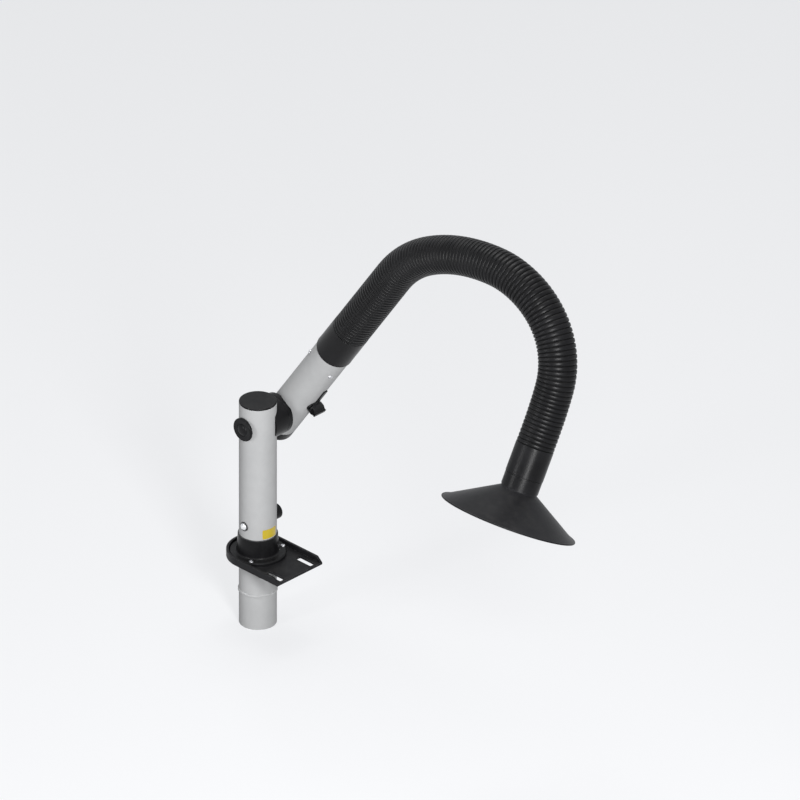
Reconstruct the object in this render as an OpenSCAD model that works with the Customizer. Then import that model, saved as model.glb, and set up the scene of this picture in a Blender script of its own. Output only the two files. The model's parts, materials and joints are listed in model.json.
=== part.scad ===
// Bench fume extraction arm: a swivel post, a friction elbow, a short arm and a stay-put ribbed
// hose that ends in a round hood. Millimetres. The origin lies on the post's axis, on the plane of
// the bench top. +X runs from the post towards the bench, +Y along the elbow's axis and +Z up.

/* [Tubes] */
// Outer diameter of the three duct tubes
tube_d = 50; // [46:1:56]
// Wall of the duct tubes
tube_wall = 2; // [1.5:0.25:2.5]
// Height of the post tube's top edge above the bench
post_top = 231.5; // [200:1:400]
// How far the outlet tube hangs below the bench plane
outlet_drop = 100; // [90:1:200]
// Length of the arm tube beyond the elbow's axis
arm_reach = 180; // [178:1:300]
// Length of the arm tube behind the elbow's axis
arm_tail = 32; // [30:1:60]

/* [Mounting plate] */
// Sheet thickness of the plate and its rim
plate_t = 3; // [2:0.5:4]
// Height of the upturned rim
rim_h = 10; // [6:0.5:14]
// Run of the slope that ends the rim on the bench side
rim_slope = 8; // [4:1:12]
// Length of each fixing slot
slot_len = 28; // [16:1:40]
// Width of each fixing slot
slot_w = 9; // [5.5:0.5:11]
// Corner radius of the fixing slots
slot_round = 1.5; // [0.5:0.25:2.5]
// Plate left beyond the slots
plate_end = 4; // [3:0.5:12]

/* [Swivel] */
// How far the collar's flange reaches beyond the tube
flange_reach = 13; // [11:0.5:18]
// Thickness of the collar's flange
flange_t = 5; // [4:0.5:7]
// Height of the collar's top above the bench
collar_h = 34; // [30:1:44]
// Height of the clamp bolt above the collar's top
clamp_rise = 18.7; // [16:0.5:30]
// Diameter of the clamp bolt
clamp_bolt_d = 6; // [5:0.5:8]
// Diameter of the clamp knob
clamp_knob_d = 21; // [18:0.5:28]
// How far the clamp knob stands out
clamp_knob_t = 11.6; // [9:0.2:16]

/* [Elbow] */
// Distance from the post tube's top down to the elbow's axis
elbow_drop = 31; // [29:1:50]
// Diameter of the two joint discs
disc_d = 56; // [54:1:64]
// How far the post's disc stands out of the post tube
drum_reach = 5.6; // [4.5:0.1:9]
// Thickness of the arm's disc
disc_t = 6.2; // [5:0.1:9]
// Diameter of the air way through the joint
airway_d = 35; // [30:0.5:36]
// Diameter of the friction rod
rod_d = 8; // [6:0.5:9]
// Diameter of the friction knob
friction_knob_d = 32.8; // [28:0.4:42]

/* [Arm] */
// Rise of the arm above the bench plane, in degrees
arm_rise = 55; // [35:1:75]
// Distance from the elbow's axis to the damper's spindle
damper_at = 41; // [40:1:60]
// Diameter of the damper's spindle
spindle_d = 6; // [5:0.5:7]
// Width of the damper's wing
wing_w = 20; // [16:0.5:26]
// How far the wing stands off the arm tube
wing_h = 14; // [12:0.5:20]
// Distance from the arm tube's end back to the inner spider's screws
spider_back = 62; // [50:1:80]

/* [Hose] */
// How far the ribs stand out beyond the tube
rib_stand = 1; // [0:0.1:4]
// Wall from the bore to the valley between two ribs
hose_wall = 2; // [1.2:0.1:3]
// Depth of a rib
rib_depth = 1.8; // [1:0.1:3]
// Distance from rib to rib
rib_pitch = 6; // [5:0.1:9]
// Length of the smooth cuff at the hose's root
root_cuff = 55; // [40:1:70]
// Straight run of ribbed hose before the first bend
hose_straight = 135; // [100:1:200]
// Radius of the first bend
bend_1_r = 195; // [150:5:300]
// Turn of the first bend, in degrees
bend_1_turn = 26; // [10:0.5:35]
// Radius of the second bend
bend_2_r = 280; // [200:5:350]
// Turn of the second bend, in degrees
bend_2_turn = 27.5; // [10:0.5:35]
// Radius of the third bend
bend_3_r = 125; // [110:5:200]
// Turn of the third bend, in degrees
bend_3_turn = 91.5; // [60:0.5:100]
// Straight run of ribbed hose after the last bend
hose_tail = 81; // [60:1:140]
// Sideways lean of the hose's end, in degrees
hose_lean = 29; // [0:1:35]
// Diameter of the gooseneck inside the hose
gooseneck_d = 12; // [8:0.5:14]

/* [Hood] */
// Length of the smooth cuff at the hose's end
end_cuff = 42; // [38:1:60]
// Length of the hood's collar with the gap above it
collar_len = 20; // [17:1:30]
// Diameter of the hood's rim
hood_d = 187; // [140:1:260]
// Height of the hood's cone
hood_h = 42; // [30:1:80]
// Sheet thickness of the hood
hood_t = 1; // [0.8:0.1:1.5]

/* [Clearances] */
// Radial gap between a sleeve and what it slides over
slide_fit = 0.1; // [0.05:0.01:0.2]
// Radial gap of a turning fit
run_fit = 0.08; // [0.03:0.01:0.1]
// Gap between two flat faces that meet
face_gap = 0.05; // [0.02:0.01:0.1]
// Gap between the two halves of the elbow
joint_gap = 0.6; // [0.4:0.1:1]

/* [Hidden] */
$fn = 96;

over = 1;               // overrun of a cut past the face it starts from
tube_r = tube_d / 2;
bore_r = tube_r - tube_wall;

// Foot
flange_gap = 0.7;       // between the collar's flange and the plate's rim
flange_r = tube_r + flange_reach;
plate_r = flange_r + flange_gap + plate_t;
slot_gap = 8;           // from the flange to the slots
slot_x = flange_r + slot_gap + slot_len / 2;
slot_inset = 10;        // from the flange's side to the slots' centre line
slot_y = flange_r - slot_inset;
plate_x = slot_x + slot_len / 2 + plate_end;
outlet_gap = 1;         // round the outlet tube, in the plate's hole
flange_top = plate_t + flange_t;
screw_inset = 4;        // from the flange's edge to its screws
screw_circle_r = flange_r - screw_inset;
flange_screw_d = 4;
flange_head_d = 6.2;
flange_head_h = 2;
flange_screw_count = 3;
flange_screw_turn = 60;  // degrees round the post from +X
flange_chamfer = 1.6;

// Swivel: the post tube stands on the bush's flange, the outlet tube hangs under the ledge
collar_wall = 1.5;      // collar's top beyond the tube
collar_flare = 1.5;     // further out at the collar's foot
collar_cove = 2.6;      // hollow radius between the flange and the collar's sleeve
cove_turn = 15;         // degrees from one edge of that hollow to the next
washer_t = 1;
ledge_t = 4;
bush_wall = 1.4;
bush_flange_t = 1;
outlet_top = flange_top;
ledge_z = outlet_top + washer_t + 2 * face_gap;
bush_z = ledge_z + ledge_t + face_gap;
post_z = collar_h + bush_flange_t + 2 * face_gap;
recess_gap = 0.6;       // round the outlet tube's top in the collar
spigot_r = bore_r - slide_fit;
spigot_wall = 2;
spigot_up = 31;         // spigot inside the post tube
spigot_down = 30;       // spigot below the bench plane
bush_r = spigot_r + run_fit;
bush_out_r = bush_r + bush_wall;
bead_down = 50;         // stop bead below the bench plane
bead_w = 4;
bead_h = 1.2;
outlet_screw_down = 15;
small_screw_d = 4;
small_head_d = 6.4;
small_head_h = 1.8;
thread_fit = 0.05;

clamp_z = collar_h + clamp_rise;
clamp_washer_d = 13;
clamp_washer_t = 0.9;
clamp_dome_d = 10;
clamp_dome_h = 3;
dome_share = 0.75;       // dome's radius, as a share of its width
knob_edge = 1.5;        // rounding of a knob's edge
knob_blind = 3;         // solid left in front of a knob's hole

label_t = 0.2;
label_low = 1.5;        // bare tube below the label
label_h = 13.5;
label_from = -31;       // degrees round the post from +X
label_turn = 53;

cap_t = 2.2;
cap_round = 0.5;
plug_len = 8;

// Elbow
elbow_z = post_top - elbow_drop;
disc_r = disc_d / 2;
drum_y = tube_r + drum_reach;
disc_y = drum_y + joint_gap;
tube_sink = 2.4;        // arm tube let into its disc
arm_y = disc_y + disc_t - tube_sink + tube_r;
drum_back = 8;          // the drum starts this far out from the post's axis
airway_r = airway_d / 2;
neck_wall = 2.4;
neck_r = airway_r + neck_wall;
neck_gap = 0.1;
neck_len = 9.6;         // of the arm's neck, past its disc
ring_t = 1.4;
ring_w = 5;
ring_inset = 1.5;       // from the disc's edge to the friction ring
hub_r = 8;
post_hub_y = 16;        // inner end of the post's hub
post_neck_y = 14;
leg_t = 4;
leg_len = 10;
leg_count = 3;
rod_r = rod_d / 2;
rod_nut_af = 13 / 8 * rod_d;
rod_nut_t = 6;
nut_gap = 0.2;
pocket_floor = 6.8;     // arm hub in front of the nut's pocket
nut_hub_wall = 1.9;
nut_r = rod_nut_af / sqrt(3);
nut_hub_r = nut_r + nut_gap + nut_hub_wall;
nut_y = disc_y + pocket_floor;
rod_past_nut = 1;
sleeve_wall = 2.4;
saddle_t = 2;
saddle_r = 8.5;
spring_t = 1;
spring_r = 8;
spring_cone = 0.4;
friction_knob_r = friction_knob_d / 2;
knob_back_share = 0.2;  // gap behind the knob, as a share of the saddle
knob_back = tube_r + knob_back_share * saddle_t;
knob_flange_t = 4.4;
knob_boss_r = 8;
knob_boss_h = 1.6;
knob_boss_share = 0.8;  // boss at its top, as a share of its foot
saddle_gap = 0.7;       // round the saddle, in the knob's recess
rod_in_knob = 2.2;      // rod past the floor of that recess
knob_floor = tube_r + saddle_t + spring_t + 2 * face_gap;
recess_r = saddle_r + saddle_gap;
rod_start = knob_floor + rod_in_knob;
rod_end = nut_y + rod_nut_t + rod_past_nut;

// Arm
cap_skirt = 19;
cap_skirt_round = 7;
skirt_turn = 15;        // degrees from one edge of that rounding to the next
strip_reach = 37;       // damper's base strip, from the spindle towards the hose
strip_w = 6;
base_t = 2;
blade_t = 1.6;
blade_gap = 0.6;
blade_screw_at = 10;
blade_screw_d = 2.4;
blade_head_d = 4.6;
blade_head_h = 1.2;
spindle_r = spindle_d / 2;
spindle_short_share = 0.4; // of the tube's wall, left past the spindle's end
spindle_end = tube_r - spindle_short_share * tube_wall;
hub_gap = 0.2;          // between the damper's base plate and its handle
wing_t = 5;
wing_foot_rim = 0.2;    // foot disc's edge beyond the wing's corners
wing_foot_r = norm([wing_w, wing_t]) / 2 + wing_foot_rim;
wing_foot_h = 2;
wing_foot_share = 0.9;  // wing's width at its foot, as a share of wing_w
spindle_in_wing = 5.7;
wing_wall = 1.3;        // round the end of the spindle's hole
wing_fade = 2.5;        // from there to the wing's own thickness
wing_low = tube_r + base_t + slide_fit + hub_gap;
wing_top = tube_r + wing_h;
spider_at = arm_reach - spider_back;
spider_len = 12;
spider_hub_len = 14;
leg_inset = 1;          // legs end this far inside the ring
spider_wall = 2.4;
spider_hub_r = 9;
spider_screw_turn = -27; // degrees round the arm tube from its lower side
spider_screw_count = 3;
gooseneck_r = gooseneck_d / 2;
gooseneck_ring_share = 2.5; // of its diameter, from ring to ring

// Hose
cuff_wall = 1;
cuff_r = tube_r + slide_fit;
cuff_out_r = cuff_r + cuff_wall;
cuff_round = 0.8;
tube_in_cuff = 36;      // arm tube inside the root cuff
cuff_start = arm_reach - tube_in_cuff;
rib_start = cuff_start + root_cuff;
tail_gap = 2;           // between the arm tube's end and the hose
tail_len = 16;          // plain hose inside a cuff
root_tail = root_cuff - tube_in_cuff - tail_gap;
tail_r = tube_r - slide_fit;
crest_r = tube_r + rib_stand;
hose_d = 2 * crest_r;
valley_r = crest_r - rib_depth;
hose_bore_r = valley_r - hose_wall;
hose_sides = 8;
bore_skip = 4;          // the bore has a ring at every fourth station
deg = 180 / PI;
bend_1_at = hose_straight;
bend_2_at = bend_1_at + bend_1_r * bend_1_turn / deg;
bend_3_at = bend_2_at + bend_2_r * bend_2_turn / deg;
bend_end = bend_3_at + bend_3_r * bend_3_turn / deg;
hose_len = bend_end + hose_tail;
lean_share = 0.63;      // the lean starts this far along the ribs
lean_at = lean_share * hose_len;
rib_count = round(hose_len / rib_pitch);
station_count = 2 * rib_count;
station = hose_len / station_count;
end_rise = arm_rise - bend_1_turn - bend_2_turn - bend_3_turn;

// Hood, in lengths from the hose's last rib
part_gap = 1;           // between the pieces in the end cuff
spider_ring_at = tail_len + part_gap;
spider_ring_len = 4;
end_hub_len = 10;
hood_sleeve_at = spider_ring_at + spider_ring_len + part_gap;
hood_sleeve_wall = 1.6;
neck_down = 4;          // from the end cuff to the top of the hood's neck
neck_at = end_cuff + neck_down;
cone_at = end_cuff + collar_len;
ring_gap = 0.4;         // the line between the cuff and the hood's collar
collar_end_gap = 2;
collar_ring_t = 0.95;
hood_neck_in = 1.35;    // bore of the hood's neck within the tube's radius
hood_neck_r = tube_r - hood_neck_in;
hood_sleeve_r = hood_neck_r - run_fit;
snap_t = 1.2;
snap_deep = 0.5;
snap_reach = 1.3;
sleeve_past_snap = 1.6;
hood_r = hood_d / 2;
bead_r = 1.3;
hood_slope = atan((hood_h - bead_r) / (hood_r - bead_r - hood_neck_r - hood_t));
sheet_drop = hood_t / cos(hood_slope);
// the hood hangs on the outer edge of its retaining ring
snap_at = cone_at + sheet_drop + (snap_reach - run_fit - hood_t) * tan(hood_slope);

// The hose's route: its rise turns through three bends while its end leans sideways
function share(x) = min(max(x, 0), 1);
function ease(x) = x * x * (3 - 2 * x);
function bend(run, radius, turn) = turn * share(run / (radius * turn / deg));
function rise_at(s) = arm_rise
    - bend(s - bend_1_at, bend_1_r, bend_1_turn)
    - bend(s - bend_2_at, bend_2_r, bend_2_turn)
    - bend(s - bend_3_at, bend_3_r, bend_3_turn);
function lean_at_run(s) = hose_lean * ease(share((s - lean_at) / (hose_len - lean_at)));
function way(s) = let (a = rise_at(s), b = lean_at_run(s))
    [cos(b) * cos(a), -sin(b), cos(b) * sin(a)];
function over_way(s) = let (a = rise_at(s)) [-sin(a), 0, cos(a)];
function side_way(s) = cross(over_way(s), way(s));
hose_root = [rib_start * cos(arm_rise), arm_y, elbow_z + rib_start * sin(arm_rise)];
route = [
    for (i = 0, p = hose_root; i <= station_count; p = p + station * way((i + 0.5) * station), i = i + 1) p
];
// A point of the route, at any length from the first rib
function spot(s) =
    s <= 0 ? hose_root + s * way(0) :
    s >= hose_len ? route[station_count] + (s - hose_len) * way(hose_len) :
    let (i = floor(s / station)) route[i] + (s - i * station) * way(s);

// A ring of points round the route
function ring(s, r, sides) = let (p = spot(s), u = over_way(s), v = side_way(s))
    [for (k = [0 : sides - 1]) p + r * (cos(360 * k / sides) * u + sin(360 * k / sides) * v)];
// Faces that join rings in turn, and the last to the first where the rings close
function ring_faces(rings, sides, closed) = [
    for (i = [0 : rings - (closed ? 1 : 2)], k = [0 : sides - 1])
        let (a = i * sides + k, b = i * sides + (k + 1) % sides,
             c = ((i + 1) % rings) * sides + k, d = ((i + 1) % rings) * sides + (k + 1) % sides)
        each [[a, c, b], [b, c, d]]
];

module round_tube(r, wall, low, high) {
    difference() {
        translate([0, 0, low]) cylinder(r = r, h = high - low);
        translate([0, 0, low - over]) cylinder(r = r - wall, h = high - low + 2 * over);
    }
}

// Local +Z along +Y, from the axis at height z
module along_y(z) {
    translate([0, 0, z]) rotate([-90, 0, 0]) children();
}

// Local +Z along the arm from the elbow, local +X its lower side
module on_arm() {
    translate([0, arm_y, elbow_z]) rotate([0, 90 - arm_rise, 0]) children();
}

// Local +Z along the arm's lower side, from the damper's centre
module on_damper() {
    on_arm() translate([0, 0, damper_at]) rotate([0, 90, 0]) children();
}

// Local +Z along the hose's end, from its last rib
module on_end() {
    translate(route[station_count]) rotate([0, 90 - end_rise, 0]) rotate([hose_lean, 0, 0]) children();
}

module spider_legs(from, to, low, high) {
    for (k = [0 : leg_count - 1])
        rotate([0, 0, 90 + 360 * k / leg_count])
            translate([from, -leg_t / 2, low]) cube([to - from, leg_t, high - low]);
}

module pan_head(d, h) {
    intersection() {
        cylinder(d = d, h = h);
        translate([0, 0, h - d]) sphere(d = 2 * d);
    }
}

module slot_outline() {
    inner = [slot_len - 2 * slot_round, slot_w - 2 * slot_round];
    square([slot_len, inner[1]], center = true);
    square([inner[0], slot_w], center = true);
    for (x = [-1, 1], y = [-1, 1])
        translate([x * inner[0] / 2, y * inner[1] / 2]) circle(r = slot_round, $fn = 24);
}

module flange_screw_places() {
    for (k = [0 : flange_screw_count - 1])
        rotate([0, 0, flange_screw_turn + 360 * k / flange_screw_count])
            translate([screw_circle_r, 0, 0]) children();
}

module plate_outline(r, x) {
    circle(r = r);
    translate([0, -r]) square([x, 2 * r]);
}

module mount_plate() {
    color("#1b1b1d") difference() {
        linear_extrude(rim_h) plate_outline(plate_r, plate_x);
        translate([0, 0, plate_t])
            linear_extrude(rim_h) plate_outline(plate_r - plate_t, plate_x + over);
        translate([0, 0, -over]) cylinder(r = tube_r + outlet_gap, h = rim_h);
        for (y = [-slot_y, slot_y])
            translate([slot_x, y, -over]) linear_extrude(rim_h) slot_outline();
        flange_screw_places() translate([0, 0, -over])
            cylinder(d = flange_screw_d + 2 * thread_fit, h = rim_h, $fn = 32);
        // sloping ends of the rim
        translate([0, plate_r + over, 0]) rotate([90, 0, 0]) linear_extrude(2 * (plate_r + over))
            polygon([
                [plate_x - rim_slope, rim_h + over], [plate_x - rim_slope, rim_h],
                [plate_x, plate_t], [plate_x + over, plate_t], [plate_x + over, rim_h + over]
            ]);
    }
}

module swivel_collar() {
    low = plate_t + face_gap;
    foot_r = tube_r + collar_wall + collar_flare;
    color("#202022") difference() {
        rotate_extrude() polygon([
            [tube_r + recess_gap, low], [flange_r, low], [flange_r, flange_top - flange_chamfer],
            [flange_r - flange_chamfer, flange_top],
            for (a = [-90 : -cove_turn : -180])
                [foot_r + collar_cove * (1 + cos(a)), flange_top + collar_cove * (1 + sin(a))],
            [tube_r + collar_wall, collar_h], [bush_out_r + slide_fit, collar_h],
            [bush_out_r + slide_fit, ledge_z + ledge_t], [spigot_r + 2 * slide_fit, ledge_z + ledge_t],
            [spigot_r + 2 * slide_fit, ledge_z], [tube_r + recess_gap, ledge_z]
        ]);
        flange_screw_places()
            cylinder(d = flange_screw_d + 2 * slide_fit, h = flange_top + over, $fn = 32);
    }
}

module flange_screws() {
    color("#d8d8da") flange_screw_places() {
        translate([0, 0, face_gap]) cylinder(d = flange_screw_d, h = flange_top, $fn = 32);
        translate([0, 0, flange_top + face_gap]) pan_head(flange_head_d, flange_head_h, $fn = 32);
    }
}

module swivel_bush() {
    color("#3a3a3c") rotate_extrude() polygon([
        [bush_r, bush_z], [bush_out_r, bush_z], [bush_out_r, collar_h + face_gap],
        [tube_r + collar_wall - cap_round, collar_h + face_gap],
        [tube_r + collar_wall - cap_round, collar_h + face_gap + bush_flange_t],
        [bush_r, collar_h + face_gap + bush_flange_t]
    ]);
}

module lower_thrust_washer() {
    color("#3a3a3c") round_tube(tube_r + slide_fit, tube_r - spigot_r, outlet_top + face_gap,
                                outlet_top + face_gap + washer_t);
}

module swivel_spigot() {
    color("#a9abae") difference() {
        round_tube(spigot_r, spigot_wall, -spigot_down, post_z + spigot_up);
        along_y(clamp_z)
            cylinder(d = clamp_bolt_d + 2 * slide_fit, h = 2 * tube_d, center = true, $fn = 32);
        translate([0, 0, -outlet_screw_down]) rotate([0, 90, 0])
            cylinder(d = small_screw_d + 2 * thread_fit, h = 2 * tube_d, center = true, $fn = 32);
    }
}

module outlet_tube() {
    color("#b9bbbe") difference() {
        rotate_extrude() polygon([
            [bore_r, -outlet_drop], [tube_r, -outlet_drop],
            [tube_r, -bead_down - bead_w / 2], [tube_r + bead_h, -bead_down - bead_w / 4],
            [tube_r + bead_h, -bead_down + bead_w / 4], [tube_r, -bead_down + bead_w / 2],
            [tube_r, outlet_top], [bore_r, outlet_top]
        ]);
        translate([0, 0, -outlet_screw_down]) rotate([0, 90, 0])
            cylinder(d = small_screw_d + 2 * slide_fit, h = 2 * tube_d, center = true, $fn = 32);
    }
}

module outlet_screws() {
    low = spigot_r - spigot_wall;
    high = tube_r + small_head_h / 2;
    color("#d8d8da")
        for (side = [0, 180])
            rotate([0, 0, side]) translate([0, 0, -outlet_screw_down]) rotate([0, 90, 0]) {
                translate([0, 0, low]) cylinder(d = small_screw_d, h = high - low, $fn = 32);
                translate([0, 0, tube_r + face_gap]) pan_head(small_head_d, small_head_h, $fn = 32);
            }
}

module post_tube() {
    color("#b9bbbe") difference() {
        round_tube(tube_r, tube_wall, post_z, post_top);
        along_y(clamp_z)
            cylinder(d = clamp_bolt_d + 2 * slide_fit, h = 2 * tube_d, center = true, $fn = 32);
        along_y(elbow_z) cylinder(r = neck_r + neck_gap, h = tube_d);
        along_y(elbow_z) translate([0, 0, -tube_d]) cylinder(r = rod_r + slide_fit, h = tube_d, $fn = 48);
    }
}

module post_cap() {
    color("#242426") translate([0, 0, post_top + face_gap]) rotate_extrude() polygon([
        [0, -plug_len], [bore_r - slide_fit, -plug_len], [bore_r - slide_fit, 0], [tube_r, 0],
        [tube_r, cap_t - cap_round], [tube_r - cap_round, cap_t], [0, cap_t]
    ]);
}

module clamp_bolt() {
    color("#e6e7e9") along_y(clamp_z) {
        head = -tube_r - clamp_washer_t - 2 * face_gap;
        end = tube_r + clamp_knob_t - knob_blind - face_gap;
        dome_r = dome_share * clamp_dome_d;
        translate([0, 0, head]) {
            cylinder(d = clamp_bolt_d, h = end - head, $fn = 32);
            rotate([180, 0, 0]) intersection() {
                cylinder(d = clamp_dome_d, h = clamp_dome_h);
                translate([0, 0, clamp_dome_h - dome_r]) sphere(r = dome_r);
            }
        }
    }
}

module clamp_washer() {
    color("#3c3c3e") along_y(clamp_z) translate([0, 0, -tube_r - clamp_washer_t - face_gap])
        difference() {
            cylinder(d = clamp_washer_d, h = clamp_washer_t);
            translate([0, 0, -over])
                cylinder(d = clamp_bolt_d + 2 * slide_fit, h = clamp_washer_t + 2 * over, $fn = 32);
        }
}

module clamp_knob() {
    r = clamp_knob_d / 2;
    hole = clamp_bolt_d / 2 + run_fit;
    floor_z = clamp_knob_t - knob_blind;
    color("#1d1d1f") along_y(clamp_z) translate([0, 0, tube_r + face_gap]) rotate_extrude() polygon([
        [hole, 0], [r - knob_edge, 0], [r, knob_edge], [r, clamp_knob_t - knob_edge],
        [r - knob_edge, clamp_knob_t], [0, clamp_knob_t], [0, floor_z], [hole, floor_z]
    ]);
}

// Blank yellow label
module label_blank() {
    color("#e3cf2a") rotate([0, 0, label_from])
        rotate_extrude(angle = label_turn)
            translate([tube_r + face_gap, post_z + label_low]) square([label_t, label_h]);
}

// Drum that carries the elbow, seated on the post tube, with its neck in the tube's opening
module post_joint_drum() {
    color("#202022") difference() {
        union() {
            difference() {
                along_y(elbow_z) translate([0, 0, drum_back]) cylinder(r = disc_r, h = drum_y - drum_back);
                translate([0, 0, elbow_z - disc_d]) cylinder(r = tube_r + slide_fit, h = 2 * disc_d);
            }
            along_y(elbow_z) translate([0, 0, post_neck_y]) cylinder(r = neck_r, h = drum_y - post_neck_y);
        }
        along_y(elbow_z) difference() {
            translate([0, 0, post_neck_y - over])
                cylinder(r = airway_r, h = drum_y - post_neck_y + 2 * over);
            translate([0, 0, post_hub_y]) cylinder(r = hub_r, h = drum_y - post_hub_y);
            spider_legs(hub_r / 2, airway_r + over, drum_y - leg_len, drum_y - joint_gap);
        }
        along_y(elbow_z) cylinder(r = rod_r + run_fit, h = drum_y + over);
        along_y(elbow_z) translate([0, 0, drum_y - ring_t + joint_gap / 2])
            round_tube(disc_r - ring_inset + slide_fit, ring_w + 2 * slide_fit, 0, ring_t + over);
    }
}

module friction_ring() {
    color("#6b5a48") along_y(elbow_z)
        translate([0, 0, drum_y - ring_t + joint_gap / 2 + face_gap])
            round_tube(disc_r - ring_inset, ring_w, 0, ring_t + joint_gap / 2 - 2 * face_gap);
}

module spacer_sleeve() {
    color("#c4c6c8") intersection() {
        along_y(elbow_z) translate([0, 0, -tube_r])
            round_tube(rod_r + slide_fit + sleeve_wall, sleeve_wall, 0, tube_r + post_hub_y - face_gap);
        translate([0, 0, elbow_z - disc_d]) cylinder(r = bore_r - face_gap, h = 2 * disc_d);
    }
}

module rod_saddle() {
    color("#2b2b2d") difference() {
        along_y(elbow_z) translate([0, 0, -tube_r - saddle_t])
            round_tube(saddle_r, saddle_r - rod_r - slide_fit, 0, saddle_t + tube_wall);
        translate([0, 0, elbow_z - disc_d]) cylinder(r = tube_r + face_gap, h = 2 * disc_d);
    }
}

module disc_spring() {
    hole = rod_r + slide_fit;
    color("#9fa1a4") along_y(elbow_z) translate([0, 0, -tube_r - saddle_t - face_gap]) rotate_extrude()
        polygon([
            [hole, -spring_cone], [spring_r, 0], [spring_r, -spring_t + spring_cone], [hole, -spring_t]
        ]);
}

module friction_knob() {
    face = knob_back + knob_flange_t;
    top = face + knob_boss_h;
    hole_end = rod_start + face_gap;
    color("#1d1d1f") along_y(elbow_z) mirror([0, 0, 1]) rotate_extrude() polygon([
        [recess_r, knob_back], [friction_knob_r - knob_edge, knob_back],
        [friction_knob_r, knob_back + knob_edge], [friction_knob_r, face - knob_edge],
        [friction_knob_r - knob_edge, face], [knob_boss_r, face],
        [knob_boss_share * knob_boss_r, top], [0, top], [0, hole_end],
        [rod_r + run_fit, hole_end], [rod_r + run_fit, knob_floor], [recess_r, knob_floor]
    ]);
}

module friction_rod() {
    color("#b0b2b5") along_y(elbow_z) translate([0, 0, -rod_start])
        cylinder(r = rod_r, h = rod_start + rod_end);
}

module rod_nut() {
    color("#c4c6c8") along_y(elbow_z) translate([0, 0, nut_y + face_gap]) difference() {
        cylinder(r = nut_r, h = rod_nut_t - 2 * face_gap, $fn = 6);
        translate([0, 0, -over]) cylinder(r = rod_r + thread_fit, h = rod_nut_t + 2 * over);
    }
}

// Disc that carries the arm, with its neck in the arm tube's opening and the nut in its hub
module arm_joint_disc() {
    neck_end = disc_y + disc_t + neck_len;
    hub_end = nut_y + rod_nut_t;
    color("#202022") difference() {
        union() {
            difference() {
                along_y(elbow_z) translate([0, 0, disc_y]) cylinder(r = disc_r, h = disc_t);
                on_arm() translate([0, 0, -disc_d]) cylinder(r = tube_r + slide_fit, h = 2 * disc_d);
            }
            along_y(elbow_z) translate([0, 0, disc_y]) cylinder(r = neck_r, h = neck_end - disc_y);
        }
        along_y(elbow_z) difference() {
            translate([0, 0, disc_y - over]) cylinder(r = airway_r, h = neck_end - disc_y + 2 * over);
            translate([0, 0, disc_y]) cylinder(r = nut_hub_r, h = hub_end - disc_y);
            spider_legs(nut_hub_r / 2, airway_r + over, disc_y, disc_y + leg_len);
        }
        along_y(elbow_z) cylinder(r = rod_r + slide_fit, h = hub_end);
        along_y(elbow_z) translate([0, 0, nut_y])
            cylinder(r = nut_r + nut_gap, h = rod_nut_t + over, $fn = 6);
    }
}

module spider_screw_places() {
    for (k = [0 : spider_screw_count - 1])
        rotate([0, 0, spider_screw_turn + 360 * k / spider_screw_count])
            translate([0, 0, spider_at]) rotate([0, 90, 0]) children();
}

module arm_tube() {
    color("#b9bbbe") difference() {
        on_arm() round_tube(tube_r, tube_wall, -arm_tail, arm_reach);
        along_y(elbow_z) translate([0, 0, arm_y - tube_d]) cylinder(r = neck_r + neck_gap, h = tube_d);
        on_damper() cylinder(r = spindle_r + run_fit, h = 2 * tube_d, center = true, $fn = 48);
        on_arm() spider_screw_places() cylinder(d = small_screw_d + 2 * slide_fit, h = tube_d, $fn = 32);
    }
}

module arm_end_cap() {
    color("#242426") on_arm() translate([0, 0, -arm_tail - face_gap]) mirror([0, 0, 1]) rotate_extrude()
        polygon([
            [0, -plug_len], [bore_r - slide_fit, -plug_len], [bore_r - slide_fit, 0], [tube_r, 0],
            for (a = [0 : skirt_turn : 90])
                [tube_r - cap_skirt_round * (1 - cos(a)), cap_skirt - cap_skirt_round * (1 - sin(a))],
            [0, cap_skirt]
        ]);
}

module damper_base() {
    color("#242426") difference() {
        intersection() {
            on_arm() round_tube(tube_r + slide_fit + base_t, base_t, 0, 2 * damper_at + strip_reach);
            on_damper() linear_extrude(tube_d) {
                circle(r = wing_foot_r);
                translate([-strip_reach, -strip_w / 2]) square([strip_reach, strip_w]);
            }
        }
        on_damper() cylinder(r = spindle_r + slide_fit, h = tube_d, $fn = 48);
    }
}

module damper_spindle() {
    slot_end = bore_r - blade_gap + slide_fit;
    high = wing_low + spindle_in_wing;
    color("#b0b2b5") on_damper() difference() {
        translate([0, 0, -spindle_end]) cylinder(r = spindle_r, h = spindle_end + high, $fn = 48);
        translate([-blade_t / 2 - face_gap, -spindle_d, -tube_r])
            cube([blade_t + 2 * face_gap, 2 * spindle_d, tube_r + slot_end]);
        for (z = [-blade_screw_at, blade_screw_at])
            translate([0, 0, z]) rotate([0, 90, 0])
                cylinder(d = blade_screw_d + 2 * thread_fit, h = 2 * spindle_d, center = true, $fn = 24);
    }
}

module damper_blade() {
    color("#8f9194") on_damper() difference() {
        rotate([0, 90, 0]) cylinder(r = bore_r - blade_gap, h = blade_t, center = true);
        for (z = [-blade_screw_at, blade_screw_at])
            translate([0, 0, z]) rotate([0, 90, 0])
                cylinder(d = blade_screw_d + 2 * thread_fit, h = spindle_d, center = true, $fn = 24);
    }
}

module damper_blade_screws() {
    color("#d8d8da") on_damper()
        for (z = [-blade_screw_at, blade_screw_at])
            translate([-spindle_r, 0, z]) rotate([0, 90, 0]) {
                cylinder(d = blade_screw_d, h = spindle_d + blade_head_h / 2, $fn = 24);
                translate([0, 0, spindle_d + face_gap])
                    cylinder(d = blade_head_d, h = blade_head_h, $fn = 24);
            }
}

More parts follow.
